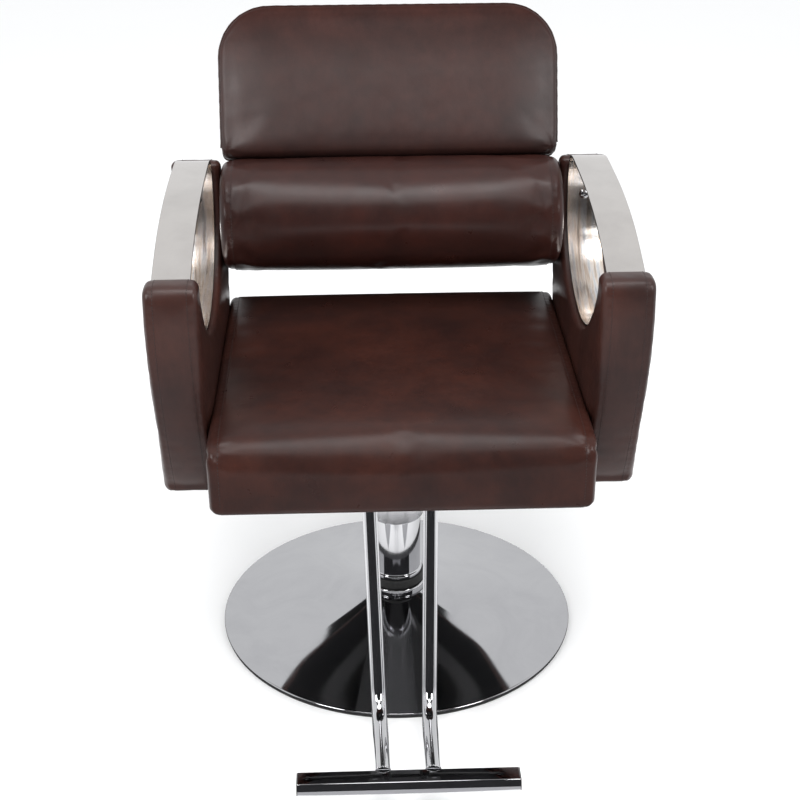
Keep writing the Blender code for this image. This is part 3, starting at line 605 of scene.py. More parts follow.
def padded_prism(name, outline, reach, roll, place, finish, spacing=FABRIC):
    """A padded block: an outline drawn across a local Z axis, with both end faces rolled over at their edges.

    It returns the object, each point's local place, and its distance in from the outline."""
    outline = even(outline, spacing)
    flat, depth, faces = filled(outline, roll, spacing)
    turn = np.sqrt(np.clip(roll**2 - np.clip(roll - depth, 0, roll) ** 2, 0, None))
    height = reach - roll + turn
    levels = max(int(round(2 * (reach - roll) / spacing)), 2)
    mesh = bmesh.new()
    rings, local, inner = [], [], []

    def point(a, b, c, d):
        local.append((a, b, c))
        inner.append(d)
        return mesh.verts.new(place @ Vector((a, b, c)))

    for k in range(levels + 1):
        c = (reach - roll) * (2 * k / levels - 1)
        rings.append([point(a, b, c, 0.0) for a, b in outline])
    joined_rings(mesh, rings)
    for side, ring in ((-1, rings[0]), (1, rings[-1])):
        lookup = {}
        for i, (a, b) in enumerate(flat):
            if depth[i] < 1e-6:
                nearest = np.argmin(((outline - (a, b)) ** 2).sum(1))
                lookup[i] = ring[int(nearest)]
            else:
                lookup[i] = point(a, b, side * height[i], depth[i])
        for face in faces:
            corners = [lookup[i] for i in face]
            if len(set(corners)) == len(corners):
                mesh.faces.new(corners)
    made = object_from(mesh, name, finish)
    return made, np.array(local), np.array(inner)


def values_of(vertices, field="co"):
    found = np.empty(len(vertices) * 3)
    vertices.foreach_get(field, found)
    return found.reshape(-1, 3)


def read_points(made):
    return values_of(made.data.vertices)


def write_points(made, points):
    made.data.vertices.foreach_set("co", np.ascontiguousarray(points, np.float64).ravel())
    made.data.update()


def rise(values, start, over):
    """From 0 to 1 as the values go from start to start + over, which may be below it."""
    return np.clip((values - start) / over, 0, 1)


def bell(values, width):
    """1 at zero, and falling off over about the width on each side."""
    return np.exp(-((values / width) ** 2))


def swell(made, held, pressure, cap, slack=0.0, bend=1.5):
    """Blows a padded piece up as cloth, held by its seams, and applies the result.

    No point moves further than cap."""
    rest, steps = read_points(made), 10
    group = made.vertex_groups.new(name="held")
    for level in range(1, steps + 1):
        chosen = np.flatnonzero(np.round(held * steps).astype(int) == level)
        if len(chosen):
            group.add([int(i) for i in chosen], level / steps, "REPLACE")
    cloth = made.modifiers.new("cloth", "CLOTH")
    settings = cloth.settings
    settings.quality = 6
    settings.mass = 0.35
    settings.air_damping = 4
    settings.tension_stiffness = settings.compression_stiffness = 18
    settings.shear_stiffness = 8
    settings.bending_stiffness = bend
    settings.shrink_min = -slack
    settings.use_pressure = True
    settings.uniform_pressure_force = pressure
    settings.vertex_group_mass = "held"
    settings.effector_weights.gravity = 0
    cloth.collision_settings.use_collision = False
    cloth.point_cache.frame_start, cloth.point_cache.frame_end = 1, SWELL_FRAMES
    scene = bpy.context.scene
    for frame_number in range(1, SWELL_FRAMES + 1):
        scene.frame_set(frame_number)
    evaluated = made.evaluated_get(bpy.context.evaluated_depsgraph_get())
    moved = values_of(evaluated.data.vertices) - rest
    made.modifiers.remove(cloth)
    scene.frame_set(1)
    length = np.linalg.norm(moved, axis=1)
    limited = cap * np.tanh(length / cap) / np.maximum(length, 1e-9)
    write_points(made, rest + moved * limited[:, None])
    made.vertex_groups.clear()


def refined(made):
    """Subdivides a piece once, for good."""
    subdivision = made.modifiers.new("fine", "SUBSURF")
    subdivision.levels = subdivision.render_levels = 1
    graph = bpy.context.evaluated_depsgraph_get()
    fine = bpy.data.meshes.new_from_object(made.evaluated_get(graph))
    made.modifiers.clear()
    old = made.data
    made.data = fine
    fine.name = made.name
    fine.shade_smooth()
    bpy.data.meshes.remove(old)


def pressed(made, lines, depth, width):
    """Presses narrow grooves into a piece along lines of 3D points."""
    points, out = read_points(made), values_of(made.data.vertices, "normal")
    nearest = np.full(len(points), np.inf)
    for place in np.vstack([array_of(line) for line in lines]):
        nearest = np.minimum(nearest, ((points - place) ** 2).sum(1))
    write_points(made, points - out * (depth * bell(np.sqrt(nearest), width))[:, None])


def puckered(made, at, reach, height):
    """Small folds that fan out from a corner where two seams meet."""
    folds = 5
    points, out = read_points(made), values_of(made.data.vertices, "normal")
    apart = points - np.array(at)
    near = np.linalg.norm(apart, axis=1)
    chosen = near < reach * 2.5
    middle = out[near < reach].mean(0)
    middle /= np.linalg.norm(middle)
    side = np.cross(middle, (0.0, 0.3, 1.0))
    side /= np.linalg.norm(side)
    angle = np.arctan2(apart @ np.cross(middle, side), apart @ side)
    share = near / reach
    size = height * np.sin(folds * angle + 0.7 * folds) * share * bell(share, 1)
    points[chosen] += (out * size[:, None])[chosen]
    write_points(made, points)


def surface_of(made):
    faces = [tuple(face.vertices) for face in made.data.polygons]
    return BVHTree.FromPolygons([vert.co for vert in made.data.vertices], faces)


def laid_on(surface, path, lift):
    """The path moved onto a surface, with the surface's direction out at each point."""
    found = []
    for point in path:
        place, out, _, _ = surface.find_nearest(Vector(point))
        found.append((place + out * lift, out))
    return found


def sewn_on(parent, made):
    """A part of an upholstered piece, which moves with it."""
    made.parent = parent


def stitching(name, lines, parent):
    """Rows of small thread capsules that lie along lines on a piece's surface."""
    surface = surface_of(parent)
    mesh = bmesh.new()
    for path, closed in lines:
        laid = laid_on(surface, spaced(path, STITCH_PITCH, closed), THREAD_RADIUS * 0.5)
        count = len(laid)
        for i, (point, out) in enumerate(laid):
            after = laid[(i + 1) % count][0] if closed or i < count - 1 else point * 2 - laid[i - 1][0]
            run = (after - point).normalized()
            side = run.cross(out).normalized()
            rings = []
            for share, size in ((-0.5, 0.0), (-0.38, 0.85), (0.0, 1.0), (0.38, 0.85), (0.5, 0.0)):
                sunk = THREAD_RADIUS * 1.2 * abs(share * 2) ** 2
                middle = point + run * (STITCH_LENGTH * share) - out * sunk
                rings.append([mesh.verts.new(middle)] if size == 0 else circle(
                    mesh, 6, lambda c, s: middle + (side * c + out * s) * THREAD_RADIUS * size
                ))
            joined_rings(mesh, rings)
    sewn_on(parent, object_from(mesh, name, THREAD))


def welt(name, path, parent, radius, lift, closed=True):
    """Piping sewn along a path on one of the back's pieces, in the back's leather."""
    line = [place for place, _ in laid_on(surface_of(parent), spaced(path, 0.004, closed), lift)]
    sewn_on(parent, tube(name, line, radius, LEATHER["back"], 10, closed))


def runs_of(path, keep):
    """The stretches of a closed path whose points are kept, apart from very short ones."""
    first = int(np.argmin(keep))
    runs, run = [], []
    for i in [*range(first, len(path)), *range(first)]:
        if keep[i]:
            run.append(path[i])
        elif run:
            runs.append(run)
            run = []
    if run:
        runs.append(run)
    return [r for r in runs if len(r) > 4]


def side_on(x=0.0):
    """A frame with its X and Y along the chair's Y and Z, at a distance to the right."""
    return Matrix(((0, 0, 1, x), (1, 0, 0, 0), (0, 1, 0, 0), (0, 0, 0, 1)))


def drawn(axis, edge, depth):
    """A flat outline's points in space, at a depth along the frame's Z."""
    return [axis @ Vector((a, b, depth)) for a, b in edge]


def held_at(inner, across, seam, also, margin=0.003):
    """How firmly each point of a padded block is held: at the seams round its ends, and where also says."""
    near = bell(inner, SEAM_REACH) * (np.abs(across) > seam - margin)
    return np.clip(np.maximum(also, near), 0, 1)


def grooved(made, axis, outline, seam, depth, width):
    """Presses in the seams round both ends of a padded block. Returns their flat outline."""
    edge = even(outline, SEAM_STEP)
    pressed(made, [drawn(axis, edge, end) for end in (-seam, seam)], depth, width)
    return edge


def stitched(name, made, axis, edge, depth, keep):
    """Stitches a line round both ends of a padded block, where keep says."""
    rows = []
    for end in (-depth, depth):
        rows += [(run, False) for run in runs_of(drawn(axis, edge, end), keep)]
    stitching(name, rows, made)


# ---------------------------------------------------------------- stage, lights and camera


def stage_look(name, colour):
    look = Look(name, colour, 0.9)
    look.colour(colour, tuple(c * 0.985 for c in colour), look.noise(1.5, 3))
    return look.material


def sheet(name, finish, *rectangles):
    """Flat rectangles, each with its left, right, near and far edges and its height."""
    mesh = bmesh.new()
    for left, right, near, far, height in rectangles:
        corners = ((left, near), (right, near), (right, far), (left, far))
        mesh.faces.new([mesh.verts.new((x, y, height)) for x, y in corners])
    return object_from(mesh, name, finish)


def make_floor():
    half, height = 9.0, -0.0004
    look = stage_look("studio_floor", (0.96, 0.96, 0.96))
    sheet("floor", look, (-half, half, -half, half, height))


def reflected_only(card):
    """Hides a card from everything but reflections."""
    card.visible_camera = card.visible_diffuse = card.visible_shadow = False


def make_dark_card():
    """A dark curved screen in front, as the unlit side of a studio is."""
    mesh = bmesh.new()
    reach, steps = math.radians(60), 24
    rows = []
    for radius, height in ((2.75, 0.02), (2.75, 2.10), (2.0, 2.75), (1.05, 3.05)):
        row = []
        for i in range(steps + 1):
            angle = -math.pi / 2 + reach * (2 * i / steps - 1)
            row.append(mesh.verts.new((radius * math.cos(angle), radius * math.sin(angle), height)))
        rows.append(row)
    for first, second in zip(rows, rows[1:]):
        for i in range(steps):
            mesh.faces.new((first[i], first[i + 1], second[i + 1], second[i]))
    reflected_only(object_from(mesh, "dark_card", stage_look("dark_card", (0.012, 0.012, 0.014))))


def make_floor_card():
    """A grey sheet over the floor in front, seen only in reflections: a painted, darker reflection of the
    floor there. It leaves room for the base.
    """
    half, start, edge, notch, end, height = 2.6, -1.7, -0.575, 0.2, -0.28, 0.001
    strips = [(-half, half, start, edge, height)]
    strips += [(-half, -notch, edge, end, height), (notch, half, edge, end, height)]
    reflected_only(sheet("floor_card", stage_look("floor_card", (0.40, 0.40, 0.41)), *strips))


def make_ring_card():
    """A painted contact shadow: the dark line where the base meets the floor, as a ring seen only in
    reflections.
    """
    profile = [(RAIL_RADIUS + 0.001, 0.0012), (RAIL_RADIUS + 0.046, 0.0012)]
    look = stage_look("shadow_ring_card", (0.03, 0.03, 0.033))
    reflected_only(lathe("shadow_ring_card", profile, look, segments=96, closed=False))


def make_gap_card():
    """A small dark card behind the gap under the back, seen only in reflections: painted shade in the seat's
    rear, so that it doesn't mirror the studio.
    """
    left, right, low, high, behind = -0.27, 0.27, 0.47, 0.62, 0.30
    card = sheet("gap_card", stage_look("gap_card", (0.02, 0.02, 0.02)), (left, right, low, high, -behind))
    card.data.transform(Matrix.Rotation(math.pi / 2, 4, "X"))  # stands it on its edge
    reflected_only(card)


def make_light(name, at, aim, size, power):
    data = bpy.data.lights.new(name, "AREA")
    data.shape = "ELLIPSE"
    data.size, data.size_y = size
    data.energy = power
    light = linked(name, data)
    light.location = at
    light.rotation_euler = (Vector(aim) - Vector(at)).to_track_quat("-Z", "Y").to_euler()


FRONT_POWER = {"left": 31, "right": 25}


def make_lights():
    middle = (0, 0, 0.7)
    make_light("overhead", (0, -0.6, 2.72), (0, -0.15, 0.5), (2.0, 1.0), 26)
    for side, name in SIDES:
        make_light(f"front_{name}", (side * 1.75, -1.72, 2.0), middle, (0.8, 1.2), FRONT_POWER[name])
    make_light("front_middle", (0, -1.42, 2.55), (0, 0.1, 0.75), (1.9, 0.6), 9)
    world = bpy.data.worlds.new("studio")
    world.use_nodes = True
    background = world.node_tree.nodes["Background"]
    background.inputs["Color"].default_value = (0.98, 0.99, 1.0, 1)
    background.inputs["Strength"].default_value = 1.0
    bpy.context.scene.world = world
    bpy.context.scene.view_settings.view_transform = "Standard"


def make_camera():
    """The viewing angle: a little left of centre, and looking 26 degrees down."""
    data = bpy.data.cameras.new("camera")
    data.lens, data.sensor_width = 67.5, 36
    data.shift_x = 0.002
    camera = linked("camera", data)
    yaw, pitch, roll = math.radians(1.77), math.radians(26.25), math.radians(0.34)
    turn = Matrix.Rotation(-yaw, 4, "Z") @ Matrix.Rotation(math.pi / 2 - pitch, 4, "X")
    turn = turn @ Matrix.Rotation(-roll, 4, "Z")
    camera.matrix_world = Matrix.Translation((-0.0605, -2.126, 1.448)) @ turn
    bpy.context.scene.camera = camera


# ---------------------------------------------------------------- base and column


def cover_height(radius):
    """Height of the base cover's outer surface, close to the CAD's: nearly a cone, steeper at the neck."""
    inwards = (RAIL_RADIUS - radius) / (RAIL_RADIUS - NECK_RADIUS)
    share = COVER_CONE * inwards + (1 - COVER_CONE) * inwards**COVER_FLARE
    return COVER_EDGE + (COVER_HIGH - COVER_EDGE) * share


def make_base():
    wall, hem, steps = 0.0016, 0.0021, 72
    first = RAIL_RADIUS - hem
    outer = [(RAIL_RADIUS - 0.0006, COVER_LOW), (RAIL_RADIUS, COVER_LOW + 0.0008)]
    for i in range(8):
        angle = math.pi / 2 * i / 7
        outer.append((first + hem * math.cos(angle), cover_height(first) + hem * (math.sin(angle) - 1)))
    for i in range(1, steps + 1):
        radius = first + (NECK_RADIUS - first) * i / steps
        outer.append((radius, cover_height(radius)))
    inner = [(r, z - wall) for r, z in reversed(outer[9:])] + [(RAIL_RADIUS - wall * 1.6, COVER_LOW)]
    cover = lathe("base_cover_shell", outer + inner, SPUN, segments=192)
    piece(cover, "base", "chrome", "base_cover")
    low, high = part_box("base_trim_ring")
    inside_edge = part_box("base_plate")[1].x + 0.0003
    ring = [(inside_edge, low.z), (high.x, low.z), (high.x, high.z), (inside_edge, high.z)]
    piece(lathe("base_trim_seal", ring, RUBBER, 0.0008, 160), "base", "black_rubber", "base_trim_ring")


def ring_profile(node, inner, bulge=0.0):
    low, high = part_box(node)
    middle = (low.z + high.z) / 2
    return [(inner, low.z), (high.x, low.z), (high.x + bulge, middle), (high.x, high.z), (inner, high.z)]


def make_column():
    inner = 0.0403
    ring = lathe("neck_ring", ring_profile("neck_collar", inner), CHROME, 0.0022)
    piece(ring, "base", "chrome", "neck_collar")
    gasket = lathe("neck_seal", ring_profile("neck_gasket", inner, 0.0004), RUBBER, 0.0022)
    piece(gasket, "base", "black_rubber", "neck_gasket")
    low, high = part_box("pump_cylinder")
    radius, lip, lip_low, lip_high = 0.040, 0.0425, 0.0883, 0.094
    bore, floor, flange = 0.030, 0.020, 0.0143
    profile = [(0, low.z), (high.x, low.z), (high.x, flange), (radius, flange), (radius, lip_low)]
    profile += [(lip, lip_low), (lip, lip_high), (radius, lip_high + 0.0015), (radius, high.z)]
    profile += [(bore, high.z), (bore, floor), (0, floor)]
    piece(lathe("pump_barrel", profile, CHROME, 0.0014), "base", "chrome", "pump_cylinder")
    low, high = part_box("column_sleeve")
    bore = 0.0412
    sleeve = [(bore, low.z), (high.x, low.z), (high.x, high.z), (bore, high.z)]
    piece(lathe("column_cover", sleeve, SATIN, 0.0011), "seat", "chrome", "column_sleeve")
    low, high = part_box("piston_rod")
    guide, groove, stem, spigot, shoulder = 0.029, 0.0265, 0.0225, 0.016, 0.330
    profile = [(0, low.z), (guide, low.z), (guide, 0.040), (groove, 0.040), (groove, 0.046), (guide, 0.046)]
    profile += [(guide, 0.052), (stem, 0.052), (stem, shoulder), (spigot, shoulder)]
    profile += [(spigot, high.z), (0, high.z)]
    piece(lathe("piston_shaft", profile, CHROME, 0.0010), "lift", "chrome", "piston_rod")


def make_spring():
    """The plunger's return spring, drawn at its full length."""
    low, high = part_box("pedal_spring")
    middle = (low + high) / 2
    wire, turns, steps, shortest = 0.0009, 5, 24, 0.58
    reach, length = (high.x - low.x) / 2 - wire, high.z - low.z - 2 * wire
    path = []
    for i in range(turns * steps + 1):
        angle = 2 * math.pi * i / steps
        height = low.z + wire + length * i / (turns * steps)
        path.append(Vector((reach * math.cos(angle), middle.y + reach * math.sin(angle), height)))
    spring = piece(tube("plunger_spring", path, wire, STEEL, 12), "base", "frame_steel", "pedal_spring")
    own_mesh(spring)


# ---------------------------------------------------------------- footrest


def make_footrest():
    radius = 0.011
    for side, name in SIDES:
        corners = [(side * 0.0455, -0.213, 0.3905), (side * 0.0455, -0.213, 0.353)]
        corners += [(side * 0.0365, -0.357, 0.064), (side * 0.0345, -0.5102, 0.0795)]
        path = rounded_route(corners, (0.030, 0.058), 18)
        path[-1] = path[-1] + (path[-1] - path[-2]).normalized() * 0.0012
        bar = tube(f"footrest_leg_{name}", path, radius, CHROME, 40)
        piece(bar, "seat", "chrome", f"footrest_tube_{name}")
        weld(f"footrest_weld_{name}", path[-1], path[-1] - path[-8], radius)
    make_foot_bar()


def weld(name, at, along, radius):
    """The small fillet where a tube meets the bar."""
    profile = [(radius * 0.4, -0.0052), (radius + 0.0002, -0.0052), (radius + 0.0010, -0.0030)]
    profile += [(radius + 0.0028, -0.0010), (radius + 0.0030, 0.0006), (radius * 0.4, 0.0006)]
    bead = lathe(name, profile, CHROME, 0.0008, 40)
    for vert in bead.data.vertices:
        angle = math.atan2(vert.co.y, vert.co.x)
        if math.hypot(vert.co.x, vert.co.y) > radius * 0.6:
            vert.co.xy *= 1 + 0.03 * math.sin(9 * angle) + 0.02 * math.sin(17 * angle + 1)
    piece(turned(bead, at, along), "seat", "chrome")


def make_foot_bar():
    low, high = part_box("foot_bar")
    front, rear, top, bottom = low.y, high.y, high.z, low.z
    section = [(rear, bottom + 0.003), (rear, top - 0.0004), (front + 0.0052, top), (front, top - 0.0094)]
    section += [(front + 0.0012, bottom + 0.0004), (front + 0.0060, bottom), (rear - 0.006, bottom + 0.0012)]
    outline = softened(section, 0.0009)
    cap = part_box("foot_bar_cap_right")
    bar = extruded("foot_rail", outline, low.x - 0.0012, high.x + 0.0012, CHROME)
    piece(bar, "seat", "chrome", "foot_bar")
    for side, name in SIDES:
        ends = sorted((side * (high.x + 0.0013), side * (cap[1].x - 0.0004)))
        end_cap = extruded(f"foot_rail_cap_{name}", offset(outline, 0.0006), *ends, RUBBER)
        piece(end_cap, "seat", "black_rubber", f"foot_bar_cap_{name}")


def extruded(name, outline, low, high, finish):
    """An outline of (y, z) points drawn out along X, with a fine chamfer at each end."""
    chamfer = min(0.0004, (high - low) * 0.2)
    centre = np.array(outline).mean(0)
    mesh = bmesh.new()
    rings = []
    for x, shrink in ((low, 0.985), (low + chamfer, 1.0), (high - chamfer, 1.0), (high, 0.985)):
        rings.append([mesh.verts.new((x, *(centre + (np.array(p) - centre) * shrink))) for p in outline])
    joined_rings(mesh, rings)
    mesh.faces.new(rings[0])
    mesh.faces.new(rings[-1])
    return object_from(mesh, name, finish, 30)


# ---------------------------------------------------------------- arms


def band_line():
    """Middle of the armrest band, side on as (y, z), as in the CAD."""
    top = [(-0.232, 0.7025), (-0.146, 0.7320), (-0.050, 0.7485), (0.055, 0.7545), (0.128, 0.7535)]
    rear = [(0.1480, 0.7360), (0.1520, 0.6900), (0.1350, 0.6330)]
    bowl = [(0.085, 0.5840), (0.020, 0.5590), (-0.050, 0.5530), (-0.120, 0.5730)]
    front = [(-0.180, 0.6130), (-0.224, 0.6600), (-0.2410, 0.6910)]
    return array_of(smooth(top + rear + bowl + front, 10, closed=True)[::-1])


def offset(line, distance):
    """A closed counter-clockwise outline moved inwards."""
    points = array_of(line)
    ahead = np.roll(points, -1, 0) - np.roll(points, 1, 0)
    inward = np.column_stack([-ahead[:, 1], ahead[:, 0]])
    return points + inward / np.linalg.norm(inward, axis=1)[:, None] * distance


def make_band(side, name, line):
    """The polished strip with its long edges eased."""
    half, ease = BAND_THICK / 2, 0.0004
    reach = BAND_REACH
    mesh = bmesh.new()
    section = [(-reach, half - ease), (-reach + ease, half), (reach - ease, half), (reach, half - ease)]
    section += [(reach, ease - half), (reach - ease, -half), (ease - reach, -half), (-reach, ease - half)]
    rings = []
    for across, inward in section:
        x = side * BAND_MIDDLE + across
        rings.append([mesh.verts.new((x, y, z)) for y, z in offset(line, inward)])
    joined_rings(mesh, rings, closed=True)
    strip = object_from(mesh, f"armrest_strip_{name}", STRIP, 40)
    # The strip's side faces take the dark finish, which is painted shade, and its inner faces the liner.
    strip.data.materials.append(EDGE)
    strip.data.materials.append(LINER)
    for face in strip.data.polygons:
        cut, upper = abs(face.normal.x) > 0.5, face.normal.z > 0.3 and face.center.z > 0.69
        face.material_index = 1 if cut else 0 if upper else 2
    piece(strip, "seat", "armrest_steel", f"arm_band_{name}")


def make_band_screws(name, line):
    """Domed screws through the strip into the arm, with a small hex socket each."""
    for number in (1, 2):
        node = f"band_screw_{name}_{number}"
        low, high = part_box(node)
        middle = (low + high) / 2
        target = np.array((middle.y, middle.z - (0.009 if number == 1 else 0)))
        centre, face = offset(line, 0), offset(line, BAND_THICK / 2)
        nearest = int(np.argmin(((centre - target) ** 2).sum(1)))
        inward = Vector((0, *(face[nearest] - centre[nearest]))).normalized()
        seat = Vector((middle.x, *face[nearest]))
        profile = [(0, -0.004), (0.0030, -0.004), (0.0030, 0), (0.0076, 0), (0.0080, 0.0006)]
        profile += [(0.0074, 0.0022), (0.0058, 0.0036), (0.0036, 0.0043), (0.0022, 0.0043)]
        profile += [(0.0022, 0.0022), (0, 0.0022)]
        head = lathe(f"domed_screw_{name}_{number}", profile, CHROME, 0.0004, 40)
        piece(turned(head, seat, inward), "seat", "chrome", node)


def arm_outline(line):
    """The padded panel, side on, as in the CAD: the outer edge, then back along the band."""
    edge = [(-0.2895, 0.6920), (-0.2920, 0.6400), (-0.2855, 0.5750), (-0.2655, 0.5020)]
    edge += [(-0.2380, 0.4300), (-0.2115, 0.3740), (-0.1960, 0.3570), (-0.0400, 0.3370)]
    edge += [(0.0700, 0.3440), (0.1400, 0.3950), (0.1880, 0.5000), (0.2090, 0.6000)]
    edge += [(0.2070, 0.6650), (0.2000, 0.7100), (0.1860, 0.7360), (0.1720, 0.7440)]
    outer = [tuple(p) for p in smooth(edge, 6)]
    beside = offset(line, -(BAND_THICK / 2 + BAND_GAP))[::-1]
    highest = int(np.argmax(beside[:, 1]))
    beside = np.roll(beside, -highest, 0)
    bowl = [tuple(p) for p in beside if p[1] < 0.740 and (p[0] > 0 or p[1] < 0.693)]
    front = bowl[-1]
    top = [(front[0] + 0.001, 0.7050), (front[0] - 0.004, 0.7085), (-0.2740, 0.7085), (-0.2850, 0.7040)]
    return outer + [(0.1600, 0.7455)] + bowl + top


def make_arm(side, name, line):
    outline = arm_outline(line)
    axis = side_on(side * ARM_MIDDLE)
    reach, roll = ARM_REACH - 0.0008, 0.0105
    seam = reach - roll
    panel, local, inner = padded_prism(f"arm_padding_{name}", outline, reach, roll, axis, LEATHER["arm"])
    y, z, x = local.T
    points = read_points(panel)
    outer = np.clip(side * x / reach, 0, 1)
    behind, low_down = rise(y, 0.06, 0.10), rise(z, 0.47, -0.12) * rise(y, 0, -0.1)
    points[:, 0] += side * (0.0035 * (outer * behind) + 0.0028 * low_down * outer)
    write_points(panel, points)
    beside_band = (distances(local[:, :2], line) < 0.004) & (inner < 0.002)
    swell(panel, held_at(inner, x, seam, beside_band, 0.002), 1.2, 0.004, 0.0025)
    refined(panel)
    edge = grooved(panel, axis, outline, seam, 0.0011, 0.0024)
    piece(panel, "seat", "upholstery", f"arm_panel_{name}")
    stitched(f"arm_stitching_{name}", panel, axis, edge, seam - 0.0034, distances(edge, line) > 0.006)


# ---------------------------------------------------------------- cushions


def make_seat():
    """A boxed cushion: one panel over the top and down the front, and a sewn panel on each side."""
    low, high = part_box("seat_cushion")
    corners = [(low.y + 0.002, low.z - 0.0062), (low.y + 0.075, low.z - 0.0006), (high.y, low.z - 0.0006)]
    corners += [(high.y + 0.001, high.z), (low.y, high.z - 0.007)]
    outline = rounded_corners(corners, (0.0070, 0.05, 0.006, 0.017, 0.039))
    axis = side_on()
    reach, roll = high.x + 0.0022, 0.0125
    seam = reach - roll
    cushion, local, inner = padded_prism("seat_padding", outline, reach, roll, axis, LEATHER["seat"])
    y, z, x = local.T
    across = np.clip(np.abs(x) / reach, 0, 1)
    along = rise(y, low.y, high.y - low.y)
    points = read_points(cushion)
    crown = (1 - across**2.6) * (1 - np.abs(2 * along - 1) ** 3.2 * 0.75)
    points[:, 2] += 0.0070 * crown * rise(z - low.z, 0.045, 0.05)
    front = rise(y, low.y + 0.06, -0.05) * (1 - across**3) * np.sin(np.pi * rise(z, low.z, 0.1))
    points[:, 1] -= 0.005 * front
    write_points(cushion, points)
    below = rise(z, low.z + 0.012, -0.008)
    swell(cushion, held_at(inner, x, seam, below), 1.0, 0.004, 0.0008, 4.0)
    refined(cushion)
    for side, _ in SIDES:
        puckered(cushion, Vector((side * (reach - 0.012), low.y + 0.012, high.z - 0.022)), 0.019, 0.0020)
    edge = grooved(cushion, axis, outline, seam, 0.0012, 0.0026)
    piece(cushion, "seat", "upholstery", "seat_cushion")
    stitched("seat_stitching", cushion, axis, edge, seam - 0.0036, edge[:, 1] > low.z + 0.010)


def lumbar_outline():
    """Flat behind and half of a full ellipse in front, in the leaning frame's (y, z)."""
    half, middle = LUMBAR_HEIGHT / 2, -LUMBAR_HEIGHT / 2 - 0.001
    front = []
    for i in range(41):
        angle = math.pi * i / 40
        front.append((middle + half * math.cos(angle), LUMBAR_DEPTH * max(math.sin(angle), 0) ** 0.85))
    corner, flat = 0.015, 0.015 - BACK_THICK
    behind = []
    for centre, start in ((middle - half + corner, math.pi), (middle + half - corner, 1.5 * math.pi)):
        for k in range(9):
            angle = start + math.pi / 2 * k / 8
            behind.append((centre + corner * math.cos(angle), flat + corner * math.sin(angle)))
    return front + behind


def make_lumbar():
    outline = lumbar_outline()
    axis = BACK_FRAME @ side_on()
    reach, roll = LUMBAR_HALF_WIDTH + 0.0025, 0.0145
    seam = reach - roll
    cushion, local, inner = padded_prism("lumbar_padding", outline, reach, roll, axis, LEATHER["lumbar"])
    behind = rise(local[:, 1], -0.050, -0.01)
    swell(cushion, held_at(inner, local[:, 2], seam, behind), 1.6, 0.004, 0.003)
    refined(cushion)
    edge = grooved(cushion, axis, outline, seam, 0.0014, 0.0026)
    piece(cushion, "seat", "upholstery", "lumbar_cushion")
    stitched("lumbar_stitching", cushion, axis, edge, seam - 0.0040, edge[:, 1] > -0.055)


def make_upper_back():
    """A slab cushion, crowned in front, with piping round both edges of its sides."""
    width, height = BACK_HALF_WIDTH + 0.0015, BACK_HEIGHT - 0.002
    corners = [(-width, 0.003), (width, 0.003), (width, height), (-width, height)]
    outline = rounded_corners(corners, (0.006, 0.006, BACK_CORNER, BACK_CORNER))
    middle = BACK_FRAME @ Matrix.Translation((0, 0, -BACK_THICK / 2))
    reach, roll = BACK_THICK / 2 - 0.0015, 0.010
    seam = reach - roll
    cushion, local, inner = padded_prism("back_padding", outline, reach, roll, middle, LEATHER["back"])
    x, y, z = local.T
    points = read_points(cushion)
    face = np.clip(z / reach, 0, 1) ** 2
    sides = 1 - np.clip(np.abs(x) / width, 0, 1) ** 8
    sides *= 1 - bell(np.clip(width - np.abs(x), 0, 1), 0.020)
    ends = 1 - 0.66 * rise(y, 0.02, height - 0.02) ** 1.3
    ends *= 1 - bell(np.clip(height - y, 0, 1), 0.009)
    tuck = 0.024
    turn_under = tuck - np.sqrt(np.clip(tuck**2 - np.clip(0.027 - y, 0, tuck) ** 2, 0, None))
    out = np.array(BACK_FRAME.to_3x3() @ Vector((0, 0, 1)))
    points += out * ((0.0105 * sides * ends - 0.75 * turn_under) * face)[:, None]
    write_points(cushion, points)
    behind = rise(z, 0.008 - reach, -0.008)
    inner[y <= 0.015] = np.inf  # no seam runs along the bottom
    swell(cushion, held_at(inner, z, seam, behind), 0.7, 0.0025, 0.0, 8.0)
    refined(cushion)
    for side, _ in SIDES:
        puckered(cushion, middle @ Vector((side * (width - 0.012), 0.016, reach - 0.006)), 0.015, 0.0015)
    edge = even(outline, 0.005)
    upper = edge[:, 1] > 0.016
    seams = [run for end in (-seam, seam) for run in runs_of(drawn(middle, edge, end), upper)]
    pressed(cushion, seams, 0.0010, 0.0026)
    piece(cushion, "seat", "upholstery", "upper_back_cushion")
    front = runs_of(drawn(middle, edge, seam + 0.001), upper)[0]
    welt("back_piping_front", front, cushion, 0.0021, 0.0006, closed=False)
    welt("back_piping_rear", drawn(middle, edge, -seam), cushion, 0.0023, 0.0007)


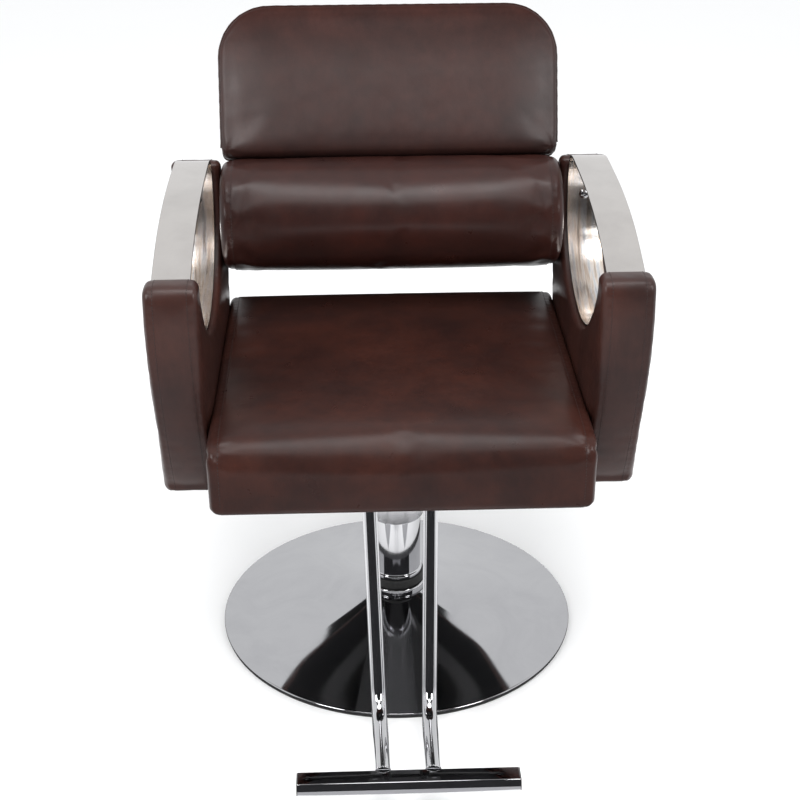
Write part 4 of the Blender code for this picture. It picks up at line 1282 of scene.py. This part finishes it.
def make_rear_panel():
    """The thin upholstered board that closes the back."""
    width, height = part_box("rear_panel")[1].x - 0.001, BACK_HEIGHT - 0.005
    low = 0.007 - LUMBAR_HEIGHT
    corners = [(-width, low), (width, low), (width, height), (-width, height)]
    outline = rounded_corners(corners, (0.022, 0.022, BACK_CORNER, BACK_CORNER))
    thick, roll = 0.016, 0.0055
    reach = thick / 2
    middle = BACK_FRAME @ Matrix.Translation((0, 0, -BACK_THICK - 0.0003 - reach))
    panel, local, inner = padded_prism("rear_cover", outline, reach, roll, middle, LEATHER["back"], 0.010)
    points = read_points(panel)
    out = np.array(BACK_FRAME.to_3x3() @ Vector((0, 0, 1)))
    behind = np.clip(-local[:, 2] / reach, 0, 1)
    points -= out * (0.004 * behind * (1 - bell(inner, 0.05)))[:, None]
    write_points(panel, points)
    refined(panel)
    piece(panel, "seat", "upholstery", "rear_panel")
    edge = even(outline, 0.005)
    welt("rear_piping", drawn(middle, edge, roll - reach), panel, 0.0020, 0.0006)
    stitching("rear_stitching", [(drawn(middle, offset(edge, 0.012), -reach - 0.003), True)], panel)


# ---------------------------------------------------------------- carried-over CAD nodes


def finish_node(name, look):
    made = NODES[name]
    made.data.materials.clear()
    made.data.materials.append(look)


def finish_nodes():
    finishes = {
        "chrome": CHROME, "armrest_steel": STRIP, "black_rubber": RUBBER, "bearing_brass": BRASS,
        "frame_steel": PAINT, "plywood": PLYWOOD, "dust_cloth": CLOTH, "upholstery": LEATHER["arm"],
    }
    for part in frame["record"]["subparts"]:
        finish_node(part["node"], finishes[part["material_slot"]])
    for name in NODES:
        if "bolt" in name or "screw" in name or name in ("pump_plunger", "pedal_pin", "pedal_spring"):
            finish_node(name, STEEL)
        if name.startswith("band_screw"):
            finish_node(name, CHROME)


def main():
    make_camera()
    make_floor()
    make_dark_card()
    make_floor_card()
    make_ring_card()
    make_gap_card()
    make_lights()
    finish_nodes()
    make_base()
    make_column()
    make_spring()
    make_footrest()
    line = band_line()
    for side, name in SIDES:
        make_band(side, name, line)
        make_band_screws(name, line)
        make_arm(side, name, line)
    make_seat()
    make_lumbar()
    make_upper_back()
    make_rear_panel()


main()
